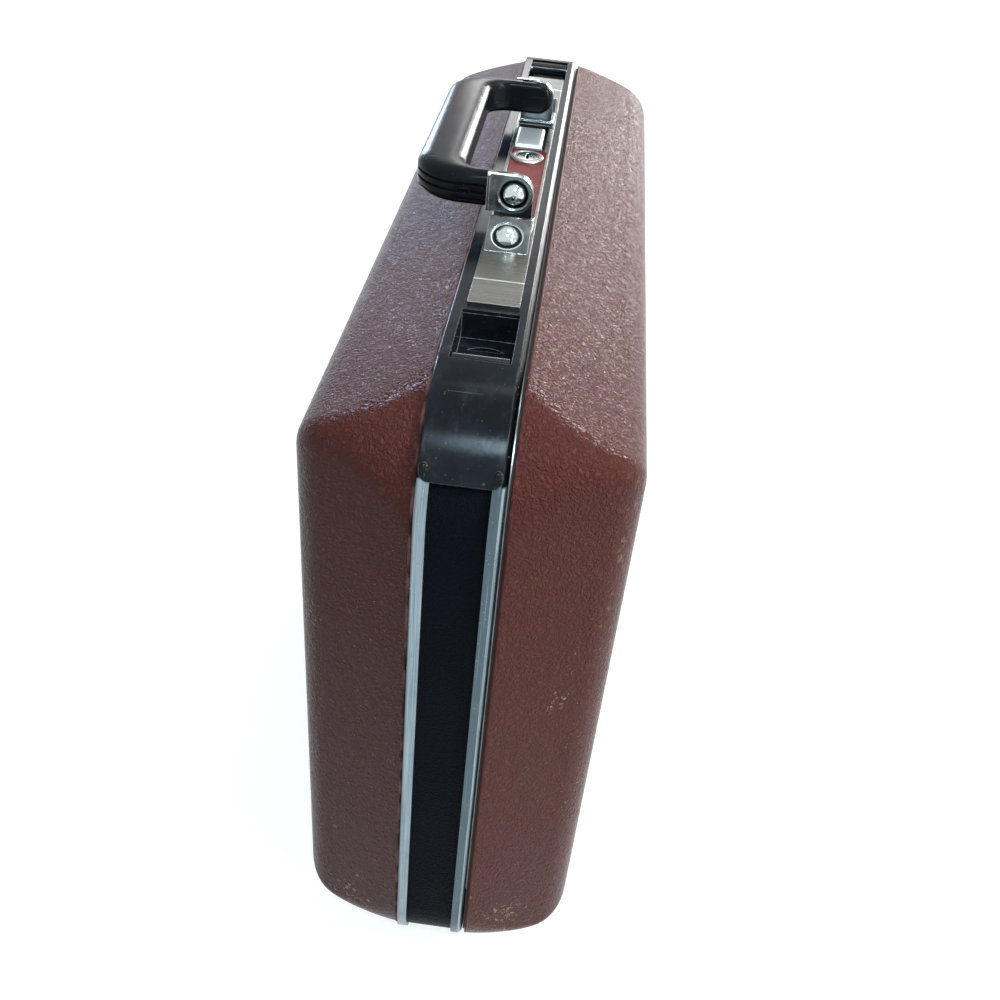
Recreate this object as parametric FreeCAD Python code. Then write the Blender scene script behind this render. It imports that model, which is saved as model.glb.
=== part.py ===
"""Hardshell briefcase: two moulded shells on an aluminium frame, standing on its hinge edge.

Millimetres. X runs across the thickness, with the lid on +X. Y runs along the length, Z is up.
The pieces are drawn with the frame's underside at Z = 0 and are lifted by the feet on export,
so the origin is the middle of the footprint, on the floor.
"""
import FreeCAD
import Part
import math
import os

V = FreeCAD.Vector

# Overall sizes
length = 457.0
height = 318.0
base_depth = 63.5
lid_depth = 63.5
frame_corner = 46.0
foot_height = 3.0

# Moulded shells
shell_wall = 3.0
base_edge_inset = 1.4
lid_edge_inset = 0.5
draft_angle = 24.5
corner_fade = 1.4
face_round = 19.0
outer_corner = 9.0
least_corner = 2.5
corner_shrink = 0.4
base_edge_x = -15.9
lid_edge_x = 17.0
lining_gap = 0.1
lining_thickness = 1.2

# Aluminium frame ring on the base
rail_outer_x = 15.4
left_rail_width = 4.4
right_rail_width = 5.1
rail_bevel = 1.6
frame_depth = 5.0
band_recess = 1.5
band_thickness = 0.8
flange_reach = 4.4
flange_thickness = 1.5
flange_depth = 6.9
frame_lining_thickness = 1.0
frame_lining_drop = 48.0
frame_lining_edge = 1.0

# Lid frame, tongue and seal
lid_flange_thickness = 1.2
lid_flange_inner = 9.0
lid_leg_reach = 4.0
tongue_gap = 0.4
tongue_thickness = 1.5
tongue_reach = 3.7
tongue_low_end = 62.0
lid_leg_height = 1.5
tongue_room = 0.6
seal_gap = 0.5
seal_outer = 2.3

# Black top trim with its wrapped ends
trim_thickness = 1.5
trim_left_x = -15.4
trim_right_x = 13.8
trim_end_drop = 24.0
trim_corner = 4.0
trim_edge_round = 0.6
fit_gap = 0.1

# Chrome hardware plate and what it frames
plate_half_width = 10.0
plate_thickness = 0.9
inlay_rim = 1.3
inlay_sink = 0.5
cover_plate_proud = 0.35
cover_plate_gap = 4.0
cover_plate_length = 20.3
inlay_start = -60.5

# Finger wells and latches
well_left_x = -11.2
well_right_x = 10.7
well_end_offset = 43.7
well_length = 36.3
well_depth = 12.2
housing_wall = 1.0
housing_drop = 15.0
crescent_half_width = 7.0
crescent_rise = 2.6
crescent_depth = 2.6
crescent_offset = 8.5
latch_pivot_offset = 3.9
latch_pivot_drop = 4.3
knuckle_radius = 3.6
lever_side_gap = 0.8
blade_thickness = 2.2
blade_reach = 7.4
blade_lean = 20.0
blade_side_inset = 1.0
lip_growth = 0.3
lip_setback = 1.2
latch_pin_radius = 1.2
running_gap = 0.05
spring_width = 5.0
spring_outer_radius = 2.6
spring_room = 0.3
bolt_offset = 18.5
bolt_length = 14.0
bolt_thickness = 4.4
bolt_top_drop = 15.6
bolt_left_x = -7.0
bolt_shoulder_x = 8.0
nose_width = 10.0
nose_thickness = 3.4
nose_end_x = 13.6
nose_rise = 0.5
guide_gap = 0.15
guide_wall = 1.5
keeper_gap = 0.4
keeper_width = 20.0
keeper_wall = 1.4
keeper_margin = 3.0
keeper_slot_gap = 0.5
keeper_face_wall = 0.9

# Handle and its brackets
pivot_x = -0.4
pivot_rise = 15.5
eye_radius = 8.2
handle_half_span = 68.7
eye_thickness = 8.0
ferrule_x = -11.1
ferrule_width = 1.1
ferrule_proud = 0.4
arm_height = 15.4
grip_outer_x = -45.0
grip_inner_x = -24.3
grip_outer_corner = 21.0
grip_inner_corner = 11.0
grip_edge_round = 4.8
arm_edge_round = 2.8
rib_groove_depth = 1.1
rib_groove_width = 1.3
rib_pitch = 3.3
rib_count = 3
rib_start = 2.6
rib_end_y = 46.0
rib_end_gap = 1.2
eye_plate_thickness = 1.8
ferrule_corner = 0.8
pin_radius = 3.0
pin_head_radius = 4.9
pin_head_height = 3.5
pin_head_gap = 0.25
pin_end_wall = 1.0
pin_recess_radius = 6.9
pin_recess_depth = 1.0
post_thickness = 2.0
post_side_gap = 0.3
post_stop_gap = 0.15
bracket_slab = 1.5
bracket_half_width = 9.0
bracket_outer_y = 98.0
bracket_inner_y = 62.6
boss_run = 15.0
boss_slope = 30.0
boss_back_run = 4.0
boss_top_run = 1.6
bracket_screw_radius = 1.9
bracket_screw_gap = 0.1
inner_screw_inset = 8.0
outer_screw_inset = 15.0
screw_head_radius = 3.4
screw_head_height = 2.4
screw_bite = 1.0
rivet_sink = 0.6
rivet_seat_radius = 6.6
rivet_hole_depth = 7.0
rivet_bite = 2.8

# Key lock and slide release
lock_y = 13.5
lock_bezel_radius = 8.0
lock_plug_radius = 6.0
lock_bezel_height = 1.8
lock_plug_depth = 19.0
lock_plug_sink = 0.3
lock_bezel_round = 1.1
lock_barrel_wall = 1.2
lock_barrel_gap = 0.2
lock_barrel_short = 3.0
key_slot_width = 1.4
key_slot_length = 7.5
key_slot_depth = 6.0
cam_length = 11.0
cam_width = 7.0
cam_thickness = 1.6
cam_corner = 2.0
recess_left_x = -8.5
recess_right_x = 7.4
recess_start = 24.5
recess_end = 62.0
recess_depth = 2.6
slider_right_x = 5.6
slider_start = 29.0
slider_end = 56.4
slider_travel = 5.0
slider_stem_width = 5.0
slider_stem_inset = 6.0
slider_stem_drop = 11.0
slider_stem_room = 1.0
slider_floor_gap = 0.15
slider_side_gap = 0.3
slider_proud = 0.4
slider_round = 1.3

# Inner cover over the latch works
cover_wall = 1.0
cover_left_x = -13.9
cover_right_x = 13.0
cover_end_gap = 23.5
cover_drop = 25.0
cover_exit_gap = 0.4

# Hinges along the bottom
hinge_x = 16.2
hinge_rise = 1.5
hinge_end_offset = 108.5
knuckle_count = 5
hinge_knuckle_length = 8.0
hinge_knuckle_radius = 2.2
hinge_knuckle_gap = 0.2
hinge_pin_radius = 1.0
hinge_clearance = 0.35
leaf_thickness = 1.0
base_leaf_reach = 22.0
lid_leaf_top = 8.8
leaf_pad_inset = 3.0
leaf_joint = 1.0
leaf_overlap = 0.5
leaf_rivet_x = 5.5
lid_rivet_drop = 2.2
rivet_radius = 1.2
rivet_head_radius = 2.2
rivet_head_height = 0.6
rivet_peen_height = 0.7
rivet_spacing = 24.0

# Lid stays
stay_offset = 16.5
stay_rise = 42.0
stay_end_offset = 28.5
stay_width = 9.0
stay_thickness = 1.5
stay_pin_radius = 2.0
stay_slot_clearance = 0.15
stay_head_radius = 3.8
stay_head_thickness = 1.2
stay_stud_radius = 4.5
stay_end_gap = 0.6
stay_end_wall = 1.2
stay_side_gap = 0.15
stud_reach = 40.0
lid_open_angle = 95.0

# Feet
foot_end_offset = 56.5
foot_width = 12.0
foot_left_x = -14.0
foot_right_x = 13.4
foot_screw_x = 8.0
foot_screw_radius = 1.5
foot_screw_head = 2.8
foot_screw_sink = 2.2
foot_screw_head_height = 1.2
foot_screw_end = 0.8
foot_round = 1.5
cap_pin_radius = 1.6
cap_pin_shank = 0.7
cap_pin_bite = 3.0
cap_pin_rise_height = 0.7
cap_pin_rise = 4.5
cap_pin_side = 2.0

# Lid organiser
pocket_end_offset = 63.5
pocket_bottom = 55.0
pocket_top_drop = 83.0
pocket_thickness = 7.5
pocket_panel = 1.4
pocket_sag = 1.5
pocket_round = 3.0
soft_gap = 0.2

# Derived places
half_length = length / 2.0
trim_end_z = height - trim_end_drop
housing_bottom = height - housing_drop
bolt_top = height - bolt_top_drop
cover_bottom = height - cover_drop
pocket_top = height - pocket_top_drop
well_far_end = half_length - well_end_offset
well_near_end = well_far_end - well_length
latch_pivot_y = well_far_end - latch_pivot_offset
bolt_y = well_near_end + bolt_offset
cover_plate_end = well_near_end - cover_plate_gap
cover_plate_start = cover_plate_end - cover_plate_length
cover_half_length = half_length - cover_end_gap
hinge_places = (-half_length + hinge_end_offset, 0.0, half_length - hinge_end_offset)
stay_y = half_length - stay_end_offset
foot_y = half_length - foot_end_offset
pocket_half_length = half_length - pocket_end_offset
rail_inner_left = -rail_outer_x + left_rail_width
rail_inner_right = rail_outer_x - right_rail_width
trim_top = height + trim_thickness
plate_top = trim_top + plate_thickness
pivot_z = height + pivot_rise
web_inset = band_recess + band_thickness
hinge_half_length = (knuckle_count * hinge_knuckle_length) / 2.0
stay_pivot_z = hinge_rise + stay_rise
stay_lid_x = hinge_x + stay_offset
stay_base_x = hinge_x - stay_offset
latch_pivot_z = trim_top - latch_pivot_drop
start_x = ferrule_x - ferrule_width
arm_half = arm_height / 2.0
arm_inner_y = -handle_half_span + eye_thickness
eye_plate_y = -handle_half_span + eye_plate_thickness
post_y = eye_plate_y + post_side_gap
tongue_y = post_y + post_thickness + post_side_gap
web_end_x = pivot_x - eye_radius - post_stop_gap

# Generous reaches of cutting tools
case_far = 1000.0
half_room = 30.0
below_case = -10.0
above_case = plate_top + 5.0


def box(x0, x1, y0, y1, z0, z1):
    return Part.makeBox(x1 - x0, y1 - y0, z1 - z0, V(x0, y0, z0))


def cyl(radius, start, direction, span):
    return Part.makeCylinder(radius, span, V(*start), V(*direction))


def fuse(shapes):
    solid = shapes[0]
    for other in shapes[1:]:
        solid = solid.fuse(other)
    return solid.removeSplitter()


def mirror_y(shape):
    return shape.mirror(V(0, 0, 0), V(0, 1, 0))


def extrude_profile(points, start, vector):
    """Prism of a closed polygon whose points are already vectors."""
    wire = Part.makePolygon(points + [points[0]])
    face = Part.Face(wire)
    face.translate(start)
    return face.extrude(vector)


def outline_wire(x, inset, corner):
    """Rounded rectangle of the case's side view, drawn in at its edges by inset."""
    half = half_length - inset
    low = inset
    high = height - inset
    radius = max(corner, least_corner)
    k = radius * math.sqrt(0.5)
    edges = []
    corners = (
        (half - radius, high - radius, 1, 1),
        (-half + radius, high - radius, -1, 1),
        (-half + radius, low + radius, -1, -1),
        (half - radius, low + radius, 1, -1),
    )
    ends = []
    for cy, cz, sy, sz in corners:
        side = V(x, cy + sy * radius, cz)
        middle = V(x, cy + sy * k, cz + sz * k)
        flat = V(x, cy, cz + sz * radius)
        ends.append((side, middle, flat))
    order = []
    for index, (side, middle, flat) in enumerate(ends):
        order.append((side, middle, flat) if index % 2 == 0 else (flat, middle, side))
    for index in range(4):
        first, middle, last = order[index]
        following = order[(index + 1) % 4][0]
        edges.append(Part.Arc(first, middle, last).toShape())
        edges.append(Part.LineSegment(last, following).toShape())
    return Part.Wire(edges)


def prism(x0, x1, inset):
    face = Part.Face(outline_wire(x0, inset, frame_corner - inset))
    return face.extrude(V(x1 - x0, 0, 0))


def ring(x0, x1, outer, inner):
    return prism(x0, x1, outer).cut(prism(x0, x1, inner))


def shell_profile(edge_x, depth, edge_inset):
    """Stations from the open edge to the flat face: depth, inset, surface slope and corner radius."""
    slope = math.radians(draft_angle)
    start = abs(edge_x)
    bend = depth - face_round * (1 - math.sin(slope))
    first_corner = frame_corner - edge_inset
    draft = []
    for step in range(6):
        t = step / 5.0
        x = start + (bend - start) * t
        inset = edge_inset + (x - start) * math.tan(slope)
        corner = outer_corner + (first_corner - outer_corner) * (1 - t) ** corner_fade
        draft.append((x, inset, slope, corner))
    bend_inset = draft[-1][1]
    turn = [draft[-1]]
    for step in range(1, 7):
        angle = slope + (math.pi / 2 - slope) * step / 6.0
        x = bend + face_round * (math.sin(angle) - math.sin(slope))
        growth = face_round * (math.cos(slope) - math.cos(angle))
        turn.append((x, bend_inset + growth, angle, outer_corner - growth * corner_shrink))
    return draft, turn


def shell_form(side, edge_x, depth, edge_inset, offset):
    """Drafted solid of one shell with a rolled face edge, set in from the outer skin by offset."""
    lofts = []
    for stations in shell_profile(edge_x, depth, edge_inset):
        wires = []
        for x, inset, slope, corner in stations:
            place = x - offset * math.sin(slope)
            wires.append(outline_wire(side * place, inset + offset * math.cos(slope), corner - offset))
        lofts.append(Part.makeLoft(wires, True, False))
    return lofts[0].fuse(lofts[1])


def half_shell(side, edge_x, depth, edge_inset):
    outer = shell_form(side, edge_x, depth, edge_inset, 0.0)
    return outer.cut(shell_form(side, edge_x, depth, edge_inset, shell_wall))


def shell_lining(side, edge_x, depth, edge_inset, start):
    skin = shell_wall + lining_gap
    outer = shell_form(side, edge_x, depth, edge_inset, skin)
    inner = shell_form(side, edge_x, depth, edge_inset, skin + lining_thickness)
    keep = box(start, case_far, -case_far, case_far, -case_far, case_far)
    if side < 0:
        keep = box(-case_far, start, -case_far, case_far, -case_far, case_far)
    return outer.cut(inner).common(keep)


def hinge_pockets(radius):
    pockets = []
    for place in hinge_places:
        start = (hinge_x, place - hinge_half_length - hinge_clearance, hinge_rise)
        pockets.append(cyl(radius, start, (0, 1, 0), 2 * (hinge_half_length + hinge_clearance)))
    return pockets


def well_prism(gap, low, high):
    return box(well_left_x - gap, well_right_x + gap, -well_far_end - gap, -well_near_end + gap, low, high)


def top_hole(radius, x, y):
    """Upright hole through everything in the top of the case."""
    return cyl(radius, (x, y, cover_bottom), (0, 0, 1), above_case - cover_bottom)


def bottom_hole(radius, x, y):
    """Upright hole through everything in the bottom of the case."""
    return cyl(radius, (x, y, below_case), (0, 0, 1), 2 * abs(below_case))


def across(y0, y1, z0, z1):
    """Block wider than the frame and the lid's edge."""
    return box(-half_room, half_room, y0, y1, z0, z1)


def both_ends(shape):
    return [shape, mirror_y(shape)]


# Shells

def make_base_shell():
    return half_shell(-1, base_edge_x, base_depth, base_edge_inset)


def make_lid_shell():
    shell = half_shell(1, lid_edge_x, lid_depth, lid_edge_inset)
    for pocket in hinge_pockets(hinge_knuckle_radius + hinge_clearance):
        shell = shell.cut(pocket)
    return shell


# Frames, band, seal and linings

def bevelled_rail():
    flat = prism(rail_inner_right, rail_outer_x - rail_bevel, 0.0)
    low = outline_wire(rail_outer_x - rail_bevel, 0.0, frame_corner)
    high = outline_wire(rail_outer_x, rail_bevel, frame_corner - rail_bevel)
    bevel = Part.makeLoft([low, high], True, True)
    return flat.fuse(bevel).cut(prism(-half_room, half_room, frame_depth))


def screw_holes():
    return [top_hole(bracket_screw_radius + bracket_screw_gap, 0, y) for y in bracket_screw_places()]


def bracket_screw_places():
    inner = bracket_inner_y + inner_screw_inset
    outer = bracket_outer_y - outer_screw_inset
    return (-outer, -inner, inner, outer)


def lock_hole():
    return top_hole(lock_plug_radius + lock_barrel_wall + lock_barrel_gap, pivot_x, lock_y)


def stem_slot():
    """Slot in which the release slide's stem travels."""
    half = slider_stem_width / 2 + slider_stem_room
    start = slider_start + slider_stem_inset - slider_stem_room
    end = slider_end + slider_travel - slider_stem_inset + slider_stem_room
    return box(-half, half, start, end, cover_bottom, above_case)


def make_base_frame():
    flange_x = -rail_outer_x - flange_reach
    pieces = [
        ring(-rail_outer_x, rail_inner_left, 0.0, frame_depth),
        ring(rail_inner_left, rail_inner_right, web_inset, frame_depth),
        bevelled_rail(),
        ring(-rail_outer_x, -rail_outer_x + flange_thickness, web_inset, flange_depth + flange_thickness),
        ring(flange_x, -rail_outer_x, flange_depth, flange_depth + flange_thickness),
    ]
    frame = fuse(pieces)
    gap = housing_wall + fit_gap
    cuts = both_ends(well_prism(gap, housing_bottom, above_case)) + [lock_hole(), stem_slot()]
    cuts += screw_holes() + cap_pin_holes() + hinge_pockets(hinge_knuckle_radius + hinge_clearance)
    for place in hinge_places:
        for x in leaf_rivet_places():
            cuts.append(bottom_hole(rivet_radius + fit_gap, x, place))
    for side in (-1, 1):
        for x in (-foot_screw_x, foot_screw_x):
            cuts.append(bottom_hole(foot_screw_radius + fit_gap, x, side * foot_y))
    for cut in cuts:
        frame = frame.cut(cut)
    return frame


def make_valance_band():
    """Grained strip in the frame's channel, from one trim end round the bottom to the other."""
    band = ring(rail_inner_left + fit_gap, rail_inner_right - fit_gap, band_recess, web_inset)
    band = band.common(across(-case_far, case_far, below_case, trim_end_z))
    for place in hinge_places:
        half = hinge_half_length + fit_gap
        band = band.cut(across(place - half, place + half, below_case, frame_depth))
    for centre in (-foot_y, foot_y):
        half = foot_width / 2 + fit_gap
        band = band.cut(across(centre - half, centre + half, below_case, frame_depth))
    return band


def make_frame_lining():
    lining = ring(-rail_outer_x + flange_thickness, rail_outer_x - frame_lining_edge, frame_depth,
                  frame_depth + frame_lining_thickness)
    cuts = [across(-case_far, case_far, height - frame_lining_drop, above_case)]
    cuts += [stay_stud_blank(stay_base_x, side, stay_stud_radius + fit_gap) for side in (-1, 1)]
    for place in hinge_places:
        for x in leaf_rivet_places():
            cuts.append(bottom_hole(rivet_head_radius + fit_gap, x, place))
    for side in (-1, 1):
        for x in (-foot_screw_x, foot_screw_x):
            cuts.append(bottom_hole(foot_screw_head, x, side * foot_y))
    tongue_outer = frame_depth + frame_lining_thickness + tongue_room
    cuts.append(ring(lid_edge_x - tongue_reach - tongue_room, half_room, frame_depth, tongue_outer))
    for cut in cuts:
        lining = lining.cut(cut)
    return lining


def make_lid_frame():
    flange = ring(lid_edge_x, lid_edge_x + lid_flange_thickness, lid_edge_inset + shell_wall,
                  lid_flange_inner)
    leg = ring(lid_edge_x + lid_flange_thickness, lid_edge_x + lid_flange_thickness + lid_leg_reach,
               lid_flange_inner - lid_leg_height, lid_flange_inner)
    tongue_outer = frame_depth + tongue_gap
    tongue = ring(lid_edge_x - tongue_reach, lid_edge_x, tongue_outer, tongue_outer + tongue_thickness)
    tongue = tongue.common(across(-case_far, case_far, tongue_low_end, case_far))
    frame = fuse([flange, leg, tongue]).cut(make_lid_shell())
    for pocket in hinge_pockets(hinge_knuckle_radius + hinge_clearance):
        frame = frame.cut(pocket)
    for hole in lid_rivet_holes():
        frame = frame.cut(hole)
    return frame


def make_lid_seal():
    seal = ring(rail_outer_x + seal_gap, lid_edge_x, seal_outer, frame_depth + tongue_gap)
    for place in hinge_places:
        half = hinge_half_length + hinge_clearance
        seal = seal.cut(across(place - half, place + half, below_case, lid_leaf_top + fit_gap))
    return seal


def make_base_lining():
    return shell_lining(-1, base_edge_x, base_depth, base_edge_inset, -rail_outer_x - flange_reach - 0.4)


def make_lid_lining():
    start = lid_edge_x + lid_flange_thickness + lid_leg_reach + 0.4
    lining = shell_lining(1, lid_edge_x, lid_depth, lid_edge_inset, start)
    for side in (-1, 1):
        lining = lining.cut(stay_stud_blank(stay_lid_x, side, stay_stud_radius + fit_gap))
    return lining


# Top trim and hardware plate

def trim_window():
    """Rounded slab, seen along the length, that ends the trim on both end faces."""
    slab = box(trim_left_x, trim_right_x, -case_far, case_far, trim_end_z, above_case)
    low_edges = []
    for edge in slab.Edges:
        middle = edge.CenterOfMass
        if abs(middle.z - trim_end_z) < 0.01 and abs(middle.y) < 0.01:
            low_edges.append(edge)
    return slab.makeFillet(trim_corner, low_edges)


def recess_box(gap, low, high):
    return box(recess_left_x - gap, recess_right_x + gap, recess_start - gap, recess_end + gap, low, high)


def make_top_trim():
    crown = prism(trim_left_x, trim_right_x, -trim_thickness)
    crown = crown.makeFillet(trim_edge_round, [e for e in crown.Edges if e.BoundBox.XLength < 0.01])
    skin = crown.cut(prism(-half_room, half_room, 0.0))
    fill = ring(rail_inner_left + fit_gap, rail_inner_right - fit_gap, -trim_thickness / 2, web_inset)
    trim = fuse([skin, fill]).common(trim_window())
    cuts = both_ends(well_prism(0.0, housing_bottom, above_case))
    cuts += both_ends(well_prism(housing_wall + fit_gap, housing_bottom, height))
    cuts += [lock_hole(), recess_box(0.0, trim_top - recess_depth, above_case), stem_slot()]
    cuts += screw_holes() + cap_pin_holes()
    for cut in cuts:
        trim = trim.cut(cut)
    return trim


def make_hardware_plate():
    half = plate_half_width
    plate = box(-half, half, -cover_plate_start, cover_plate_start, trim_top, plate_top)
    inside = half - inlay_rim
    inlay = box(-inside, inside, inlay_start, recess_start, trim_top, above_case)
    for cut in [inlay, recess_box(-fit_gap, trim_top, above_case)] + screw_holes():
        plate = plate.cut(cut)
    return plate


def make_cover_plate():
    """Separate end of the hardware plate, standing a little proud of it."""
    half = plate_half_width
    return box(-half, half, -cover_plate_end, -cover_plate_start, trim_top, plate_top + cover_plate_proud)


def make_accent_inlay():
    half = plate_half_width - inlay_rim - fit_gap
    panel = box(-half, half, inlay_start + fit_gap, recess_start - fit_gap, trim_top,
                plate_top - inlay_sink)
    return panel.cut(top_hole(lock_bezel_radius + fit_gap, pivot_x, lock_y))


# Latches

def make_latch_housing():
    low = housing_bottom
    outer = well_prism(housing_wall, low, height)
    floor = trim_top - well_depth
    housing = outer.cut(well_prism(0.0, floor, above_case))
    chord_y = -well_near_end - crescent_offset
    radius = (crescent_half_width ** 2 + crescent_rise ** 2) / (2 * crescent_rise)
    low = floor - crescent_depth
    disc = cyl(radius, (pivot_x, chord_y - radius + crescent_rise, low), (0, 0, 1), well_depth)
    crescent = disc.common(across(chord_y, chord_y + crescent_rise, low, height))
    return housing.cut(crescent).cut(latch_bore()).common(prism(-half_room, half_room, 0.0))


def latch_bore():
    start = (-half_room, -latch_pivot_y, latch_pivot_z)
    return cyl(latch_pin_radius + running_gap, start, (1, 0, 0), 2 * half_room)


def make_latch_lever():
    left = well_left_x + lever_side_gap
    right = well_right_x - lever_side_gap
    centre = (left, -latch_pivot_y, latch_pivot_z)
    knuckle = cyl(knuckle_radius, centre, (1, 0, 0), right - left)
    blade_left = left + blade_side_inset
    blade_right = right - blade_side_inset
    blade = box(blade_left, blade_right, -blade_thickness / 2, blade_thickness / 2, -blade_reach, 0)
    lip_radius = blade_thickness / 2 + lip_growth
    lip = cyl(lip_radius, (blade_left, 0, -blade_reach + lip_setback), (1, 0, 0), blade_right - blade_left)
    arm = blade.fuse(lip)
    arm.rotate(V(0, 0, 0), V(1, 0, 0), blade_lean)
    arm.translate(V(0, -latch_pivot_y, latch_pivot_z))
    lever = knuckle.fuse(arm)
    room_start = (-spring_width / 2 - spring_room, -latch_pivot_y, latch_pivot_z)
    room = cyl(spring_outer_radius + spring_room, room_start, (1, 0, 0), spring_width + 2 * spring_room)
    return lever.cut(latch_bore()).cut(room)


def make_latch_pin():
    left = well_left_x - housing_wall
    right = well_right_x + housing_wall
    return cyl(latch_pin_radius, (left, -latch_pivot_y, latch_pivot_z), (1, 0, 0), right - left)


def make_latch_spring():
    start = (-spring_width / 2, -latch_pivot_y, latch_pivot_z)
    return cyl(spring_outer_radius, start, (1, 0, 0), spring_width).cut(latch_bore())


def make_latch_bolt():
    low = bolt_top - bolt_thickness
    body = box(bolt_left_x, bolt_shoulder_x, -bolt_y - bolt_length / 2, -bolt_y + bolt_length / 2, low,
               bolt_top)
    nose_low = low + nose_rise
    nose = box(bolt_shoulder_x, nose_end_x, -bolt_y - nose_width / 2, -bolt_y + nose_width / 2, nose_low,
               nose_low + nose_thickness)
    return body.fuse(nose).removeSplitter()


def make_keeper():
    face = nose_end_x + keeper_gap
    nose_low = bolt_top - bolt_thickness + nose_rise
    nose_high = nose_low + nose_thickness
    low = nose_low - keeper_margin
    high = height - frame_depth - tongue_gap - tongue_thickness
    half = keeper_width / 2
    block = box(face, lid_edge_x, -bolt_y - half, -bolt_y + half, low, nose_high + keeper_margin)
    tab = box(lid_edge_x - keeper_wall, lid_edge_x, -bolt_y - half, -bolt_y + half, low, high)
    slot_half = nose_width / 2 + keeper_slot_gap
    slot = box(0, lid_edge_x - keeper_face_wall, -bolt_y - slot_half, -bolt_y + slot_half,
               nose_low - keeper_slot_gap, nose_high + keeper_slot_gap)
    return block.fuse(tab).removeSplitter().cut(slot)


def make_mechanism_cover():
    inside = prism(-half_room, half_room, frame_depth + fit_gap)
    half = cover_half_length
    outer = box(cover_left_x, cover_right_x, -half, half, cover_bottom, height)
    cavity = box(cover_left_x + cover_wall, cover_right_x - cover_wall, -half + cover_wall,
                 half - cover_wall, cover_bottom + cover_wall, height)
    cover = outer.common(inside).cut(cavity)
    low = bolt_top - bolt_thickness
    side = bolt_length / 2 + guide_gap
    guide = box(cover_left_x + cover_wall, cover_right_x - cover_wall, -bolt_y - side - guide_wall,
                -bolt_y + side + guide_wall, cover_bottom + cover_wall, bolt_top - guide_gap)
    guide = guide.cut(across(-bolt_y - side, -bolt_y + side, low - guide_gap, height))
    for block in both_ends(guide):
        cover = cover.fuse(block)
    cover = cover.removeSplitter()
    exit_half = nose_width / 2 + cover_exit_gap
    exit_hole = box(0, half_room, -bolt_y - exit_half, -bolt_y + exit_half, low, bolt_top)
    for hole in both_ends(exit_hole):
        cover = cover.cut(hole)
    return cover


# Handle, brackets and pins

def about_pivot(radius, y0, y1):
    return cyl(radius, (pivot_x, y0, pivot_z), (0, 1, 0), y1 - y0)


def make_handle_eye():
    """Metal plate on the outer face of an arm, rounded about the pivot, with a ring recess."""
    y0 = -handle_half_span
    neck = box(ferrule_x, pivot_x, y0, eye_plate_y, pivot_z - eye_radius, pivot_z + eye_radius)
    eye = about_pivot(eye_radius, y0, eye_plate_y).fuse(neck).removeSplitter()
    eye = eye.cut(about_pivot(pin_recess_radius, y0, y0 + pin_recess_depth))
    return eye.cut(about_pivot(pin_radius + running_gap, y0, eye_plate_y))


def make_ferrule():
    """Thin bright strip across the outer face of an arm, beside the eye plate."""
    y0 = -handle_half_span - ferrule_proud
    half = arm_half + ferrule_proud
    band = box(start_x, ferrule_x, y0, eye_plate_y, pivot_z - half, pivot_z + half)
    along_x = [e for e in band.Edges if e.BoundBox.XLength > ferrule_width / 2 and e.CenterOfMass.y < y0 + fit_gap]
    return band.makeFillet(ferrule_corner, along_x)


def make_tongue():
    """End of an arm behind its metal plate: a web beside the post and a rounded cheek behind it."""
    low = pivot_z - arm_half
    high = pivot_z + arm_half
    web = box(start_x, web_end_x, eye_plate_y, arm_inner_y, low, high)
    cheek = box(start_x, pivot_x, tongue_y, arm_inner_y, low, high).fuse(about_pivot(arm_half, tongue_y, arm_inner_y))
    tongue = fuse([web, cheek])
    rounded = []
    for edge in tongue.Edges:
        flat = edge.BoundBox.YLength < fit_gap and edge.BoundBox.YMax > arm_inner_y - fit_gap
        if flat and edge.BoundBox.XLength > fit_gap:
            rounded.append(edge)
    tongue = tongue.makeFillet(arm_edge_round, rounded)
    return tongue.cut(about_pivot(pin_radius + running_gap, eye_plate_y, arm_inner_y - pin_end_wall))


def plan_wire(outer_x, half_span, corner, z):
    """U-shaped plan of the handle, open towards the ferrules."""
    k = corner * (1 - math.sqrt(0.5))
    points = [V(start_x, -half_span, z), V(outer_x + corner, -half_span, z), V(outer_x + k, -half_span + k, z),
              V(outer_x, -half_span + corner, z), V(outer_x, half_span - corner, z),
              V(outer_x + k, half_span - k, z), V(outer_x + corner, half_span, z), V(start_x, half_span, z)]
    edges = [
        Part.LineSegment(points[0], points[1]).toShape(),
        Part.Arc(points[1], points[2], points[3]).toShape(),
        Part.LineSegment(points[3], points[4]).toShape(),
        Part.Arc(points[4], points[5], points[6]).toShape(),
        Part.LineSegment(points[6], points[7]).toShape(),
        Part.LineSegment(points[7], points[0]).toShape(),
    ]
    return Part.Wire(edges)


def plan_prism(outer_x, half_span, corner, low, high):
    return Part.Face(plan_wire(outer_x, half_span, corner, low)).extrude(V(0, 0, high - low))


def grip_edges(grip, outside):
    """Long edges of the U, either round its outer side or round its inner side."""
    found = []
    for edge in grip.Edges:
        bounds = edge.BoundBox
        if bounds.ZLength > fit_gap or bounds.XMin > start_x - fit_gap:
            continue
        widest = max(abs(bounds.YMin), abs(bounds.YMax))
        if (bounds.XMin < grip_inner_x - 1.0 or widest > -arm_inner_y + 1.0) == outside:
            found.append(edge)
    return found


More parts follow.
